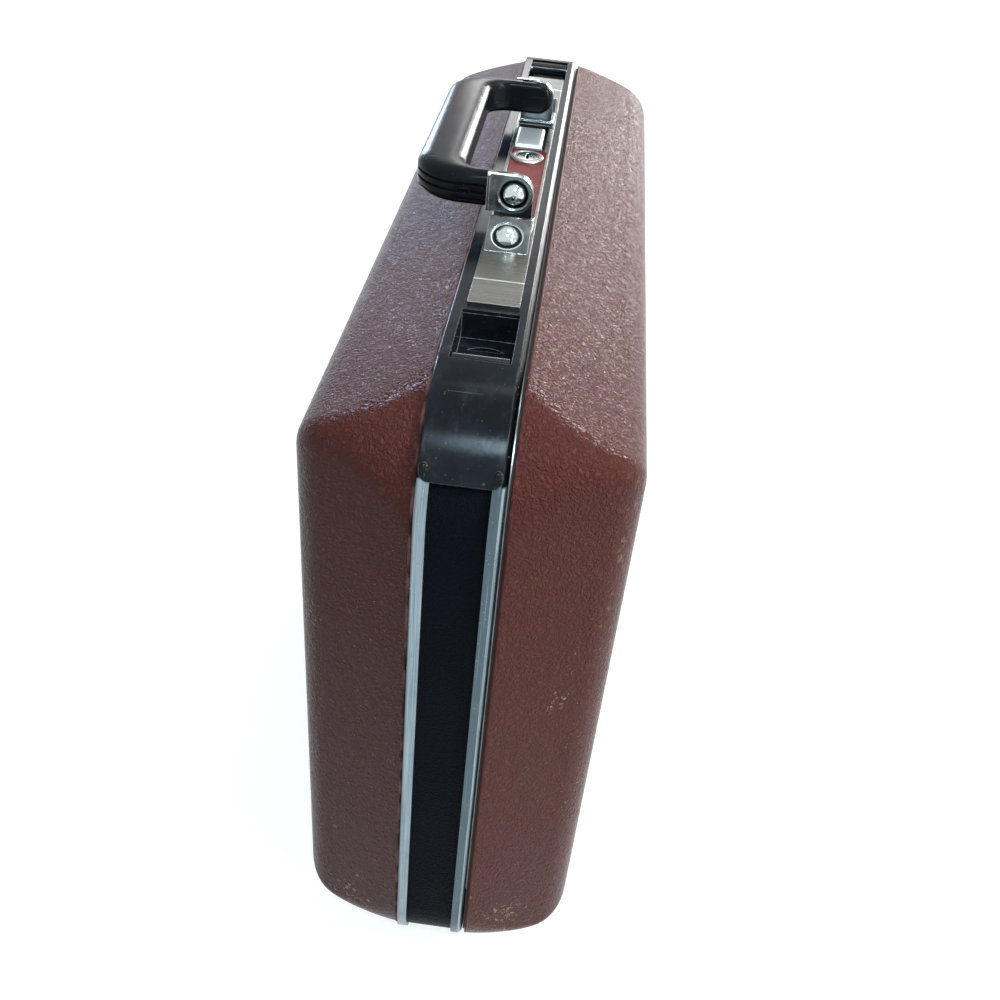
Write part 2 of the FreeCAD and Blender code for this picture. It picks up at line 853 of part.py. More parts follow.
def make_handle_grip():
    low = pivot_z - arm_half
    high = pivot_z + arm_half
    outer = plan_prism(grip_outer_x, handle_half_span, grip_outer_corner, low, high)
    inner = plan_prism(grip_inner_x, -arm_inner_y, grip_inner_corner, low - 1, high + 1)
    grip = outer.cut(inner)
    grip = grip.makeFillet(grip_edge_round, grip_edges(grip, True))
    grip = grip.makeFillet(arm_edge_round, grip_edges(grip, False))
    for index in range(rib_count):
        z = low + rib_start + index * rib_pitch
        top = z + rib_groove_width
        whole = plan_prism(grip_outer_x - 1, handle_half_span + 1, grip_outer_corner, z, top)
        core = plan_prism(grip_outer_x + rib_groove_depth, handle_half_span - rib_groove_depth,
                          grip_outer_corner - rib_groove_depth, z - 1, top + 1)
        keep = box(-case_far, start_x - rib_end_gap, -case_far, -rib_end_y, z, top)
        groove = whole.cut(core).common(keep)
        grip = grip.cut(groove).cut(mirror_y(groove))
    tongue = make_tongue()
    return fuse([grip, tongue, mirror_y(tongue)])


def boss_profile():
    """Side view of the sloped rivet boss at the outer end of a bracket."""
    y0 = -bracket_outer_y
    z0 = plate_top
    rise = boss_run * math.tan(math.radians(boss_slope))
    return [V(0, y0, z0), V(0, y0 + boss_run, z0 + rise), V(0, y0 + boss_run + boss_top_run, z0 + rise),
            V(0, y0 + boss_run + boss_back_run, z0)]


def rivet_seat():
    """Centre of the sloped face and its outward direction."""
    run = boss_run / 2
    slope = math.radians(boss_slope)
    centre = V(pivot_x, -bracket_outer_y + run, plate_top + run * math.tan(slope))
    outward = V(0, -math.sin(slope), math.cos(slope))
    return centre, outward


def make_handle_bracket():
    """Casting with a sloped boss at its outer end and a broad rounded post inside the handle's end."""
    half = bracket_half_width
    ramp = bracket_slab / math.tan(math.radians(boss_slope))
    slab = box(-half, half, -bracket_outer_y + ramp, -bracket_inner_y, plate_top, plate_top + bracket_slab)
    boss = extrude_profile(boss_profile(), V(-half, 0, 0), V(2 * half, 0, 0))
    post_end = post_y + post_thickness
    post = box(pivot_x - eye_radius, pivot_x + eye_radius, post_y, post_end, plate_top, pivot_z)
    bracket = fuse([slab, boss, post, about_pivot(eye_radius, post_y, post_end)])
    bracket = bracket.cut(about_pivot(pin_radius + running_gap, post_y, post_end))
    centre, outward = rivet_seat()
    seat = Part.makeCylinder(rivet_seat_radius, rivet_hole_depth, centre - outward * rivet_sink, outward)
    hole = Part.makeCylinder(bracket_screw_radius, 2 * rivet_hole_depth, centre - outward * rivet_hole_depth, outward)
    bracket = bracket.cut(seat).cut(hole)
    for y in bracket_screw_places():
        bracket = bracket.cut(cyl(bracket_screw_radius + bracket_screw_gap, (0, y, trim_top), (0, 0, 1),
                                  plate_thickness + screw_bite + bracket_screw_gap))
    return bracket


def dome_head(radius, rise, shank_radius, shank_length):
    """Domed rivet head standing on Z = 0 with its shank below."""
    ball_radius = (radius ** 2 + rise ** 2) / (2 * rise)
    ball = Part.makeSphere(ball_radius, V(0, 0, rise - ball_radius))
    cap = ball.common(cyl(radius, (0, 0, 0), (0, 0, 1), rise + 1))
    shank = cyl(shank_radius, (0, 0, -shank_length), (0, 0, 1), shank_length)
    return cap.fuse(shank).removeSplitter()


def place_along(shape, centre, outward):
    shape.Placement = FreeCAD.Placement(centre, FreeCAD.Rotation(V(0, 0, 1), outward)).multiply(shape.Placement)
    return shape


def make_bracket_rivet():
    centre, outward = rivet_seat()
    rivet = dome_head(pin_head_radius, pin_head_height, bracket_screw_radius - bracket_screw_gap, rivet_bite)
    return place_along(rivet, centre - outward * rivet_sink, outward)


def make_handle_pin():
    outward = V(0, -1, 0)
    seat_y = -handle_half_span + pin_recess_depth - pin_head_gap
    seat = V(pivot_x, seat_y, pivot_z)
    span = arm_inner_y - pin_end_wall - running_gap - seat_y
    pin = dome_head(pin_head_radius, pin_head_height, pin_radius, span)
    return place_along(pin, seat, outward)


def make_bracket_screws():
    screws = []
    for y in bracket_screw_places():
        shank = cyl(bracket_screw_radius, (0, y, height - frame_depth), (0, 0, 1),
                    frame_depth + trim_thickness + plate_thickness + screw_bite)
        head = cyl(screw_head_radius, (0, y, height - frame_depth - screw_head_height), (0, 0, 1),
                   screw_head_height)
        screws.append(shank.fuse(head).removeSplitter())
    return Part.makeCompound(screws)


# Key lock and slide release

def make_lock_bezel():
    low = trim_top
    outer = cyl(lock_bezel_radius, (pivot_x, lock_y, low), (0, 0, 1), lock_bezel_height)
    barrel_length = lock_plug_depth - lock_barrel_short
    barrel = cyl(lock_plug_radius + lock_barrel_wall, (pivot_x, lock_y, low - barrel_length), (0, 0, 1),
                 barrel_length)
    bezel = outer.fuse(barrel).removeSplitter()
    top_edges = []
    for edge in bezel.Edges:
        if abs(edge.CenterOfMass.z - low - lock_bezel_height) < fit_gap:
            top_edges.append(edge)
    bezel = bezel.makeFillet(lock_bezel_round, top_edges)
    return bezel.cut(top_hole(lock_plug_radius + running_gap, pivot_x, lock_y))


def make_lock_plug():
    low = trim_top - lock_plug_depth
    span = lock_plug_depth + lock_bezel_height - lock_plug_sink
    plug = cyl(lock_plug_radius, (pivot_x, lock_y, low), (0, 0, 1), span)
    slot = box(pivot_x - key_slot_width / 2, pivot_x + key_slot_width / 2, lock_y - key_slot_length / 2,
               lock_y + key_slot_length / 2, trim_top - key_slot_depth, above_case)
    return plug.cut(slot)


def make_lock_cam():
    high = trim_top - lock_plug_depth
    arm = box(pivot_x - cam_width / 2, pivot_x + cam_width / 2, lock_y - cam_width / 2,
              lock_y + cam_length, high - cam_thickness, high)
    return arm.makeFillet(cam_corner, [e for e in arm.Edges if abs(e.tangentAt(e.FirstParameter).z) > 0.9])


def make_lock_slider():
    """Thumb slide that sits in the recess, with a stem that reaches the works below."""
    low = trim_top - recess_depth + slider_floor_gap
    high = plate_top + slider_proud
    block = box(recess_left_x + slider_side_gap, slider_right_x, slider_start, slider_end, low, high)
    edges = [e for e in block.Edges if abs(e.CenterOfMass.z - high) < fit_gap]
    block = block.makeFillet(slider_round, edges)
    stem = box(-slider_stem_width / 2, slider_stem_width / 2, slider_start + slider_stem_inset,
               slider_end - slider_stem_inset, height - slider_stem_drop, trim_top)
    return block.fuse(stem).removeSplitter()


# Hinges

def leaf_rivet_places():
    return (-leaf_rivet_x, leaf_rivet_x)


def lid_rivet_seats():
    """Starts of the rivets that hold the lid's leaves, on the leaves' outer faces."""
    seats = []
    for place in hinge_places:
        for y in (place - rivet_spacing / 2, place + rivet_spacing / 2):
            seats.append((rail_outer_x + seal_gap, y, lid_leaf_top - lid_rivet_drop))
    return seats


def lid_rivet_holes():
    return [cyl(rivet_radius + fit_gap, seat, (1, 0, 0), half_room) for seat in lid_rivet_seats()]


def knuckle_start(index, place):
    return place - hinge_half_length + index * hinge_knuckle_length + hinge_knuckle_gap / 2


def knuckle_solid(index, place):
    span = hinge_knuckle_length - hinge_knuckle_gap
    start = (hinge_x, knuckle_start(index, place), hinge_rise)
    return cyl(hinge_knuckle_radius, start, (0, 1, 0), span)


def pin_bore(place):
    start = (hinge_x, place - hinge_half_length, hinge_rise)
    return cyl(hinge_pin_radius + running_gap, start, (0, 1, 0), 2 * hinge_half_length)


def make_base_leaf(place):
    """Flat leaf under the frame, filling the channel, with every other knuckle."""
    half = hinge_half_length
    right = hinge_x - hinge_knuckle_radius - hinge_clearance
    leaf = box(right - base_leaf_reach, right, place - half, place + half, -leaf_thickness, 0)
    pad = box(rail_inner_left + leaf_pad_inset, rail_inner_right - fit_gap, place - half, place + half, 0,
              web_inset)
    pieces = [leaf, pad]
    span = hinge_knuckle_length - hinge_knuckle_gap
    for index in range(0, knuckle_count, 2):
        y = knuckle_start(index, place)
        pieces.append(knuckle_solid(index, place))
        pieces.append(box(right - leaf_joint, hinge_x, y, y + span, -leaf_thickness, 0))
    solid = fuse(pieces).cut(pin_bore(place))
    for x in leaf_rivet_places():
        solid = solid.cut(bottom_hole(rivet_radius + fit_gap, x, place))
    return solid


def make_lid_leaf(place):
    """Upright leaf against the lid frame, with the knuckles between."""
    half = hinge_half_length
    left = rail_outer_x + seal_gap
    clear = hinge_rise + hinge_knuckle_radius + hinge_clearance
    leaf = box(left, lid_edge_x, place - half, place + half, clear, lid_leaf_top)
    pieces = [leaf]
    span = hinge_knuckle_length - hinge_knuckle_gap
    for index in range(1, knuckle_count, 2):
        y = knuckle_start(index, place)
        pieces.append(knuckle_solid(index, place))
        pieces.append(box(left, lid_edge_x, y, y + span, hinge_rise, clear + leaf_overlap))
    solid = fuse(pieces).cut(pin_bore(place))
    for hole in lid_rivet_holes():
        solid = solid.cut(hole)
    return solid


def make_hinge_pins():
    pins = []
    for place in hinge_places:
        start = (hinge_x, place - hinge_half_length, hinge_rise)
        pins.append(cyl(hinge_pin_radius, start, (0, 1, 0), 2 * hinge_half_length))
    return Part.makeCompound(pins)


def make_hinge_rivets_base():
    rivets = []
    for place in hinge_places:
        for x in leaf_rivet_places():
            low = -leaf_thickness
            head = cyl(rivet_head_radius, (x, place, low - rivet_head_height), (0, 0, 1), rivet_head_height)
            shank = cyl(rivet_radius, (x, place, low), (0, 0, 1), leaf_thickness + frame_depth)
            peen = cyl(rivet_head_radius, (x, place, frame_depth), (0, 0, 1), rivet_peen_height)
            rivets.append(fuse([head, shank, peen]))
    return Part.makeCompound(rivets)


def make_hinge_rivets_lid():
    reach = lid_edge_x + lid_flange_thickness - rail_outer_x - seal_gap
    return Part.makeCompound([cyl(rivet_radius, seat, (1, 0, 0), reach) for seat in lid_rivet_seats()])


# Lid stays

def stay_stud_blank(x, side, radius):
    """Straight stud from the stay's plane out to well past the end wall."""
    start = side * (stay_y + stay_thickness)
    return cyl(radius, (x, start, stay_pivot_z), (0, side, 0), stud_reach)


def make_stay_stud(x, side, wall):
    """Turned stud: a spacer against the end wall, a pin through the arm and a flat head."""
    parts = stay_stud_blank(x, side, stay_stud_radius).cut(wall).Solids
    spacer = min(parts, key=lambda solid: abs(solid.CenterOfMass.y))
    gap = stay_side_gap
    start = side * (stay_y + stay_thickness)
    spacer = spacer.cut(cyl(2 * stay_stud_radius, (x, start, stay_pivot_z), (0, side, 0), gap))
    pin_start = start + side * 2 * gap
    head_start = start - side * (stay_thickness + gap)
    pin = cyl(stay_pin_radius, (x, pin_start, stay_pivot_z), (0, -side, 0), abs(pin_start - head_start) + gap)
    head = cyl(stay_head_radius, (x, head_start, stay_pivot_z), (0, -side, 0), stay_head_thickness)
    return fuse([spacer, pin, head])


def stay_span(angle):
    """Distance from the lid's stud to the base's stud with the lid open by an angle."""
    arm = math.hypot(stay_offset, stay_rise)
    apex = 2 * math.atan2(stay_offset, stay_rise) + math.radians(angle)
    return 2 * arm * math.sin(apex / 2)


def make_stay_arm(side):
    half = stay_width / 2.0
    y0 = side * stay_y if side > 0 else side * (stay_y + stay_thickness)
    reach = stay_span(lid_open_angle) + stay_end_gap
    x_end = stay_lid_x - reach - stay_pin_radius - stay_end_wall
    low = stay_pivot_z - half
    bar = box(x_end + half, stay_lid_x, y0, y0 + stay_thickness, low, low + stay_width)
    for x in (x_end + half, stay_lid_x):
        bar = bar.fuse(cyl(half, (x, y0, stay_pivot_z), (0, 1, 0), stay_thickness))
    bar = bar.removeSplitter()
    width = stay_pin_radius + stay_slot_clearance
    near = stay_lid_x - stay_span(0.0) + stay_end_gap
    far = stay_lid_x - reach
    y1 = y0 + stay_thickness
    slot = box(far, near, y0, y1, stay_pivot_z - width, stay_pivot_z + width)
    for x in (near, far):
        slot = slot.fuse(cyl(width, (x, y0, stay_pivot_z), (0, 1, 0), stay_thickness))
    hole = cyl(stay_pin_radius + running_gap, (stay_lid_x, y0, stay_pivot_z), (0, 1, 0), stay_thickness)
    return bar.cut(slot).cut(hole)


# Feet and small fasteners

def make_feet():
    feet = []
    for side in (-1, 1):
        y0 = side * foot_y - foot_width / 2
        bar = box(foot_left_x, foot_right_x, y0, y0 + foot_width, -foot_height, 0)
        low = [e for e in bar.Edges if abs(e.CenterOfMass.z + foot_height) < fit_gap]
        bar = bar.makeFillet(foot_round, low)
        pad = box(rail_inner_left + fit_gap, rail_inner_right - fit_gap, y0, y0 + foot_width, 0, web_inset)
        foot = bar.fuse(pad).removeSplitter()
        for x in (-foot_screw_x, foot_screw_x):
            foot = foot.cut(bottom_hole(foot_screw_radius + fit_gap, x, side * foot_y))
            foot = foot.cut(cyl(foot_screw_head + fit_gap, (x, side * foot_y, -foot_height), (0, 0, 1),
                                foot_screw_sink))
        feet.append(foot)
    return Part.makeCompound(feet)


def make_foot_screws():
    screws = []
    for side in (-1, 1):
        for x in (-foot_screw_x, foot_screw_x):
            seat = -foot_height + foot_screw_sink
            head = cyl(foot_screw_head, (x, side * foot_y, seat), (0, 0, -1), foot_screw_head_height)
            shank = cyl(foot_screw_radius, (x, side * foot_y, seat), (0, 0, 1), frame_depth - seat + foot_screw_end)
            screws.append(head.fuse(shank).removeSplitter())
    return Part.makeCompound(screws)


def cap_pin_seats():
    """Places and outward directions of the pins on the bends of the trim's wrapped ends."""
    radius = frame_corner + trim_thickness
    angle = math.asin((trim_end_z + cap_pin_rise - height + frame_corner) / radius)
    seats = []
    for side in (-1, 1):
        outward = V(0, side * math.cos(angle), math.sin(angle))
        bend = V(0, side * (half_length - frame_corner), height - frame_corner)
        for x in (trim_left_x + cap_pin_side, trim_right_x - cap_pin_side):
            seats.append((V(x, 0, 0) + bend + outward * radius, outward))
    return seats


def cap_pin_holes():
    reach = trim_thickness + frame_depth
    holes = []
    for seat, outward in cap_pin_seats():
        holes.append(Part.makeCylinder(cap_pin_shank + running_gap, reach, seat, outward * -1))
    return holes


def make_cap_pins():
    pins = []
    for seat, outward in cap_pin_seats():
        pin = dome_head(cap_pin_radius, cap_pin_rise_height, cap_pin_shank, trim_thickness + cap_pin_bite)
        pins.append(place_along(pin, seat, outward))
    return Part.makeCompound(pins)


# Lid organiser

def pocket_form(inward, bottom, top, half):
    """Wedge between the lid's lining and the pocket's front, set in from the front by inward."""
    back = lid_depth - shell_wall - lining_gap - lining_thickness - soft_gap
    front = back - pocket_thickness + inward
    points = [V(back, 0, bottom), V(front - pocket_sag, 0, bottom), V(front, 0, top), V(back, 0, top)]
    return extrude_profile(points, V(0, -half, 0), V(0, 2 * half, 0)), back


def make_document_pocket():
    """Gusseted pocket on the lid's lining, open at the top."""
    solid, back = pocket_form(0.0, pocket_bottom, pocket_top, pocket_half_length)
    rounded = []
    for edge in solid.Edges:
        if edge.BoundBox.XMax < back - 0.1 and edge.BoundBox.ZMin < pocket_top - 1:
            rounded.append(edge)
    solid = solid.makeFillet(pocket_round, rounded)
    space, back = pocket_form(pocket_panel, pocket_bottom + pocket_panel, pocket_top + 5,
                              pocket_half_length - pocket_panel)
    return solid.cut(space)


def export(name, shape):
    lifted = shape.copy()
    lifted.translate(V(0, 0, foot_height))
    lifted.exportStep(os.path.join("parts", name + ".step"))


def main():
    os.makedirs("parts", exist_ok=True)
    base_frame = make_base_frame()
    lid_shell = make_lid_shell()
    pieces = {
        "base_shell": make_base_shell(),
        "lid_shell": lid_shell,
        "base_frame": base_frame,
        "lid_frame": make_lid_frame(),
        "lid_seal": make_lid_seal(),
        "valance_band": make_valance_band(),
        "base_lining": make_base_lining(),
        "lid_lining": make_lid_lining(),
        "frame_lining": make_frame_lining(),
        "top_trim": make_top_trim(),
        "hardware_plate": make_hardware_plate(),
        "accent_inlay": make_accent_inlay(),
        "mechanism_cover": make_mechanism_cover(),
        "bracket_screws": make_bracket_screws(),
        "handle_grip": make_handle_grip(),
        "lock_bezel": make_lock_bezel(),
        "lock_plug": make_lock_plug(),
        "lock_cam": make_lock_cam(),
        "lock_slider": make_lock_slider(),
        "hinge_leaves_base": Part.makeCompound([make_base_leaf(place) for place in hinge_places]),
        "hinge_leaves_lid": Part.makeCompound([make_lid_leaf(place) for place in hinge_places]),
        "hinge_pins": make_hinge_pins(),
        "hinge_rivets_base": make_hinge_rivets_base(),
        "hinge_rivets_lid": make_hinge_rivets_lid(),
        "feet": make_feet(),
        "foot_screws": make_foot_screws(),
        "cap_pins": make_cap_pins(),
        "document_pocket": make_document_pocket(),
    }
    paired = {
        "cover_plate": make_cover_plate,
        "latch_housing": make_latch_housing,
        "latch_lever": make_latch_lever,
        "latch_pin": make_latch_pin,
        "latch_spring": make_latch_spring,
        "latch_bolt": make_latch_bolt,
        "latch_keeper": make_keeper,
        "handle_bracket": make_handle_bracket,
        "bracket_rivet": make_bracket_rivet,
        "handle_pin": make_handle_pin,
        "handle_eye": make_handle_eye,
        "handle_ferrule": make_ferrule,
    }
    for name, maker in paired.items():
        near = maker()
        pieces[name + "_near"] = near
        pieces[name + "_far"] = mirror_y(near)
    for side, end in ((-1, "near"), (1, "far")):
        pieces["stay_arm_" + end] = make_stay_arm(side)
        pieces["stay_stud_base_" + end] = make_stay_stud(stay_base_x, side, base_frame)
        pieces["stay_stud_lid_" + end] = make_stay_stud(stay_lid_x, side, lid_shell)
    for name, shape in pieces.items():
        export(name, shape)
        solids = len(shape.Solids)
        print("%-22s solids %d volume %.0f valid %s" % (name, solids, shape.Volume, shape.isValid()))


main()
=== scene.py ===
"""Looks of the hardshell briefcase: vinyl shells, metal frame, black trim, chrome fittings and lined inside.

Metres, in the case's own frame: X across the thickness towards the lid, Y along the length, Z up.
"""

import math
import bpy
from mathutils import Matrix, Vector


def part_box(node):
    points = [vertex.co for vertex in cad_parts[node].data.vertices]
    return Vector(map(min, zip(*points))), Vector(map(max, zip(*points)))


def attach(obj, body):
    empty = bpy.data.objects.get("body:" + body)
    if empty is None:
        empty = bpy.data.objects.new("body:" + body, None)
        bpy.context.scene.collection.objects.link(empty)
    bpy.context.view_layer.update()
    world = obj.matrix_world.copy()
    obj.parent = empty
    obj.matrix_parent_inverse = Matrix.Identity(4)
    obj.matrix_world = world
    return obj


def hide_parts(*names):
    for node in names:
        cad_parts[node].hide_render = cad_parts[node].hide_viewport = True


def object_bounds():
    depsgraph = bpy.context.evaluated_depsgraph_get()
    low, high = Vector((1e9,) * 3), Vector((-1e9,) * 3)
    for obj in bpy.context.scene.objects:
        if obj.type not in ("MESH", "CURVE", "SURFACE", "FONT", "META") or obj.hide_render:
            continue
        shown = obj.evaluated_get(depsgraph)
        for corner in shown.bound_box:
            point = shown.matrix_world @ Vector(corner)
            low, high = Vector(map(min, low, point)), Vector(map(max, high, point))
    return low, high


bl_info = {
    "name": "Hardshell Briefcase",
    "version": (1, 0, 0),
    "blender": (4, 5, 0),
    "location": "3D View > Sidebar > Briefcase",
    "description": "Dresses the briefcase with vinyl, metal, fabric and studio light",
    "category": "Object",
}

import bmesh
import bpy
from bpy.props import FloatProperty, FloatVectorProperty, PointerProperty
from mathutils import Matrix, Vector

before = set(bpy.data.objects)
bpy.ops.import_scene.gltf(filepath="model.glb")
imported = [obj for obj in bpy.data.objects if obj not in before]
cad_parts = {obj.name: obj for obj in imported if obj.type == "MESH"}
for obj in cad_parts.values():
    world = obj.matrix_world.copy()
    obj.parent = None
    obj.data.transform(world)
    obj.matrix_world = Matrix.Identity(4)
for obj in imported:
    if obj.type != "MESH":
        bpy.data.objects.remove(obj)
CAD_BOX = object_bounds()

# The frame's outline in side view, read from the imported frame
LOW_CORNER, HIGH_CORNER = (Vector(corner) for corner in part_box("base_frame"))
HALF_LENGTH = HIGH_CORNER.y
FRAME_BOTTOM = LOW_CORNER.z
FRAME_TOP = HIGH_CORNER.z
FRAME_CORNER = 0.046

# Profile of the moulded shells, from the open edge to the flat face
SHELL_DEPTH = CAD_BOX[1][0]
DRAFT = math.radians(24.5)
FACE_ROUND = 0.019
OUTER_CORNER = 0.009
LEAST_CORNER = 0.0025
LINER_SKIN = 0.0041

# Middles of the seats under the rivets and the handle's pins, on the near side's mirror; painted shade and a
# painted highlight ring each one
DOME_SEATS = ((-0.0004, 0.0902, 0.32634), (-0.0004, 0.0680, 0.33650))

# Worn places on the vinyl: centre and reach
SCUFFS = (
    ((-0.0200, -0.118, 0.319), 0.016),
    ((-0.0330, -0.150, 0.312), 0.013),
    ((-0.0450, -0.222, 0.036), 0.030),
    ((0.0360, -0.222, 0.045), 0.022),
    ((-0.0600, -0.205, 0.215), 0.020),
    ((-0.0600, -0.205, 0.130), 0.016),
    ((0.0440, -0.215, 0.190), 0.012),
)


def colour(name, description, default):
    return FloatVectorProperty(name=name, description=description, default=default, size=3, min=0.0,
                               max=1.0, subtype="COLOR")


def distance(name, description, default):
    return FloatProperty(name=name, description=description, default=default, min=0.0,
                         subtype="DISTANCE", unit="LENGTH", precision=5)


def factor(name, description, default, top=1.0):
    return FloatProperty(name=name, description=description, default=default, min=0.0, max=top,
                         subtype="FACTOR")


class CaseVinyl(bpy.types.PropertyGroup):
    # deep is painted shade in the grain's creases, and the welt's own colour.
    deep: colour("Deep brown", "Vinyl in the creases and shaded folds", (0.036, 0.0085, 0.0066))
    brown: colour("Brown", "Main colour of the vinyl", (0.090, 0.0270, 0.0215))
    faded: colour("Faded brown", "Vinyl faded by light and handling", (0.090, 0.0300, 0.0245))
    scuff: colour("Scuff", "Tan backing that shows through worn spots", (0.420, 0.300, 0.210))
    grain: distance("Grain", "Width of one pebble of the grain", 0.0023)
    relief: distance("Relief", "Height of the pebbles", 0.00062)
    wear: factor("Wear", "How much of the vinyl is scuffed", 0.5)


class CaseMetal(bpy.types.PropertyGroup):
    rail: colour("Rail", "Light satin rail of the frame", (0.27, 0.345, 0.385))
    dark_rail: colour("Dark rail", "Flat of the darker rail beside the lid", (0.078, 0.120, 0.140))
    plate: colour("Plate", "Brushed hardware plate", (0.130, 0.130, 0.117))
    chrome: colour("Chrome", "Polished fittings", (0.60, 0.69, 0.69))
    steel: colour("Steel", "Plated steel of the hidden fittings", (0.44, 0.44, 0.45))
    dark: colour("Dark chrome", "Dark plated brackets and eye plates", (0.170, 0.185, 0.190))


class CaseTrim(bpy.types.PropertyGroup):
    black: colour("Black", "Black trim and wells", (0.0045, 0.0060, 0.0080))
    # dust also colours the painted highlights along the trim's edges.
    dust: colour("Dust", "Pale dust and scratches on black", (0.24, 0.26, 0.27))
    band: colour("Band", "Grained black band between the rails", (0.0025, 0.0034, 0.0055))
    handle: colour("Handle", "Glossy black handle", (0.0045, 0.0055, 0.0075))
    red: colour("Red", "Deep red panel between the handle brackets", (0.110, 0.0120, 0.0140))


class CaseInside(bpy.types.PropertyGroup):
    lining: colour("Lining", "Flocked lining of both shells", (0.165, 0.105, 0.075))
    pocket: colour("Pocket", "Leatherette of the document pocket", (0.105, 0.050, 0.036))
    thread: colour("Thread", "Stitching thread", (0.46, 0.36, 0.26))
    swell: distance("Swell", "How far the padded panels stand up in the middle", 0.0016)


class CaseStage(bpy.types.PropertyGroup):
    floor: colour("Floor", "Pale floor", (0.33, 0.33, 0.33))
    glow: factor("Floor glow", "Share of white that the floor shows by itself round the case", 0.76)
    far_glow: factor("Far glow", "Share of white that the floor shows by itself far away", 0.86)
    ambient: factor("Ambient", "Brightness of the room on the case", 0.31, 2.0)
    key: factor("Key light", "Brightness of the light on the right", 72.0, 400.0)
    top: factor("Top light", "Brightness of the cool light above", 56.0, 400.0)
    window: factor("Window light", "Brightness of the low light behind the handle", 4.6, 100.0)
    lid_light: factor("Lid light", "Brightness of the low light behind the lid", 33.0, 400.0)
    sky: factor("Sky", "Brightness of the wide light overhead", 5.0, 400.0)
    front: factor("Front", "Brightness of the low light in front on the right", 26.0, 400.0)
    cool_light: factor("Cool light", "Brightness of the blue light behind the base", 30.0, 400.0)
    lens: FloatProperty(name="Lens", description="Focal length in millimetres", default=39.179, min=1.0)


def settings(context):
    scene = context.scene
    return scene.case_vinyl, scene.case_metal, scene.case_trim, scene.case_inside, scene.case_stage


# Shader trees

class Tree:
    """Places and joins shader nodes in one tree."""

    def __init__(self, tree):
        self.tree = tree

    def node(self, kind, values=None, **options):
        made = self.tree.nodes.new("ShaderNode" + kind)
        for key, value in options.items():
            setattr(made, key, value)
        for key, value in (values or {}).items():
            self.put(made.inputs[key], value)
        return made

    def put(self, socket, value):
        if isinstance(value, bpy.types.NodeSocket):
            self.tree.links.new(value, socket)
        elif value is not None:
            socket.default_value = tuple(value) + (1.0,) if is_colour(socket, value) else value

    def math(self, operation, *values, clamp=False):
        made = self.node("Math", operation=operation, use_clamp=clamp)
        for socket, value in zip(made.inputs, values):
            self.put(socket, value)
        return made.outputs[0]

    def vector(self, operation, *values):
        made = self.node("VectorMath", operation=operation)
        for socket, value in zip(made.inputs, values):
            self.put(socket, value)
        return made.outputs["Value" if operation in ("LENGTH", "DOT_PRODUCT") else "Vector"]

    def scaled(self, vector, amount):
        made = self.node("VectorMath", operation="SCALE")
        self.put(made.inputs["Vector"], vector)
        self.put(made.inputs["Scale"], amount)
        return made.outputs["Vector"]

    def ramp(self, value, low, high, start=0.0, end=1.0):
        made = self.node("MapRange", {"Value": value, "From Min": low, "From Max": high, "To Min": start,
                                      "To Max": end}, interpolation_type="SMOOTHSTEP")
        return made.outputs["Result"]

    def mix(self, amount, first, second, blend="MIX"):
        made = self.node("Mix", data_type="RGBA", blend_type=blend)
        self.put(made.inputs[0], amount)
        self.put(made.inputs[6], first)
        self.put(made.inputs[7], second)
        return made.outputs[2]

    def noise(self, vector, scale, detail=2.0, roughness=0.5):
        made = self.node("TexNoise", {"Vector": vector, "Scale": scale, "Detail": detail,
                                      "Roughness": roughness})
        return made.outputs["Fac"]

    def cells(self, vector, scale, feature="F1"):
        made = self.node("TexVoronoi", {"Vector": vector, "Scale": scale}, feature=feature)
        return made

    def stretch(self, vector, scale, turn=(0.0, 0.0, 0.0)):
        made = self.node("Mapping", {"Vector": vector, "Rotation": turn, "Scale": scale})
        return made.outputs["Vector"]

    def place(self):
        return self.node("TexCoord").outputs["Object"]

    def parts(self, vector):
        return self.node("SeparateXYZ", {"Vector": vector}).outputs

    def bump(self, height, relief, strength=1.0, normal=None):
        made = self.node("Bump", {"Height": height, "Distance": relief, "Strength": strength})
        if normal is not None:
            self.put(made.inputs["Normal"], normal)
        return made.outputs["Normal"]

    def domed(self, distance, reach):
        """1 in the middle of a cell, falling off like a dome to 0 at its edge."""
        rest = self.ramp(distance, 0.0, reach, 1.0, 0.0)
        return self.math("SUBTRACT", 1.0, self.math("MULTIPLY", rest, rest))

    def group(self, name, values):
        made = self.node("Group", node_tree=bpy.data.node_groups[name])
        for key, value in values.items():
            self.put(made.inputs[key], value)
        return made.outputs


def is_colour(socket, value):
    return socket.type == "RGBA" and len(value) == 3


def shader_group(name, inputs, outputs):
    """A node group with named float or vector sockets; returns its tree and its inner sockets."""
    tree = bpy.data.node_groups.new(name, "ShaderNodeTree")
    for label, default in inputs.items():
        kind = "NodeSocketVector" if default is None else "NodeSocketFloat"
        socket = tree.interface.new_socket(name=label, in_out="INPUT", socket_type=kind)
        if default is not None:
            socket.default_value = default
    for label in outputs:
        tree.interface.new_socket(name=label, in_out="OUTPUT", socket_type="NodeSocketFloat")
    entry = tree.nodes.new("NodeGroupInput")
    leave = tree.nodes.new("NodeGroupOutput")
    return Tree(tree), entry.outputs, leave.inputs


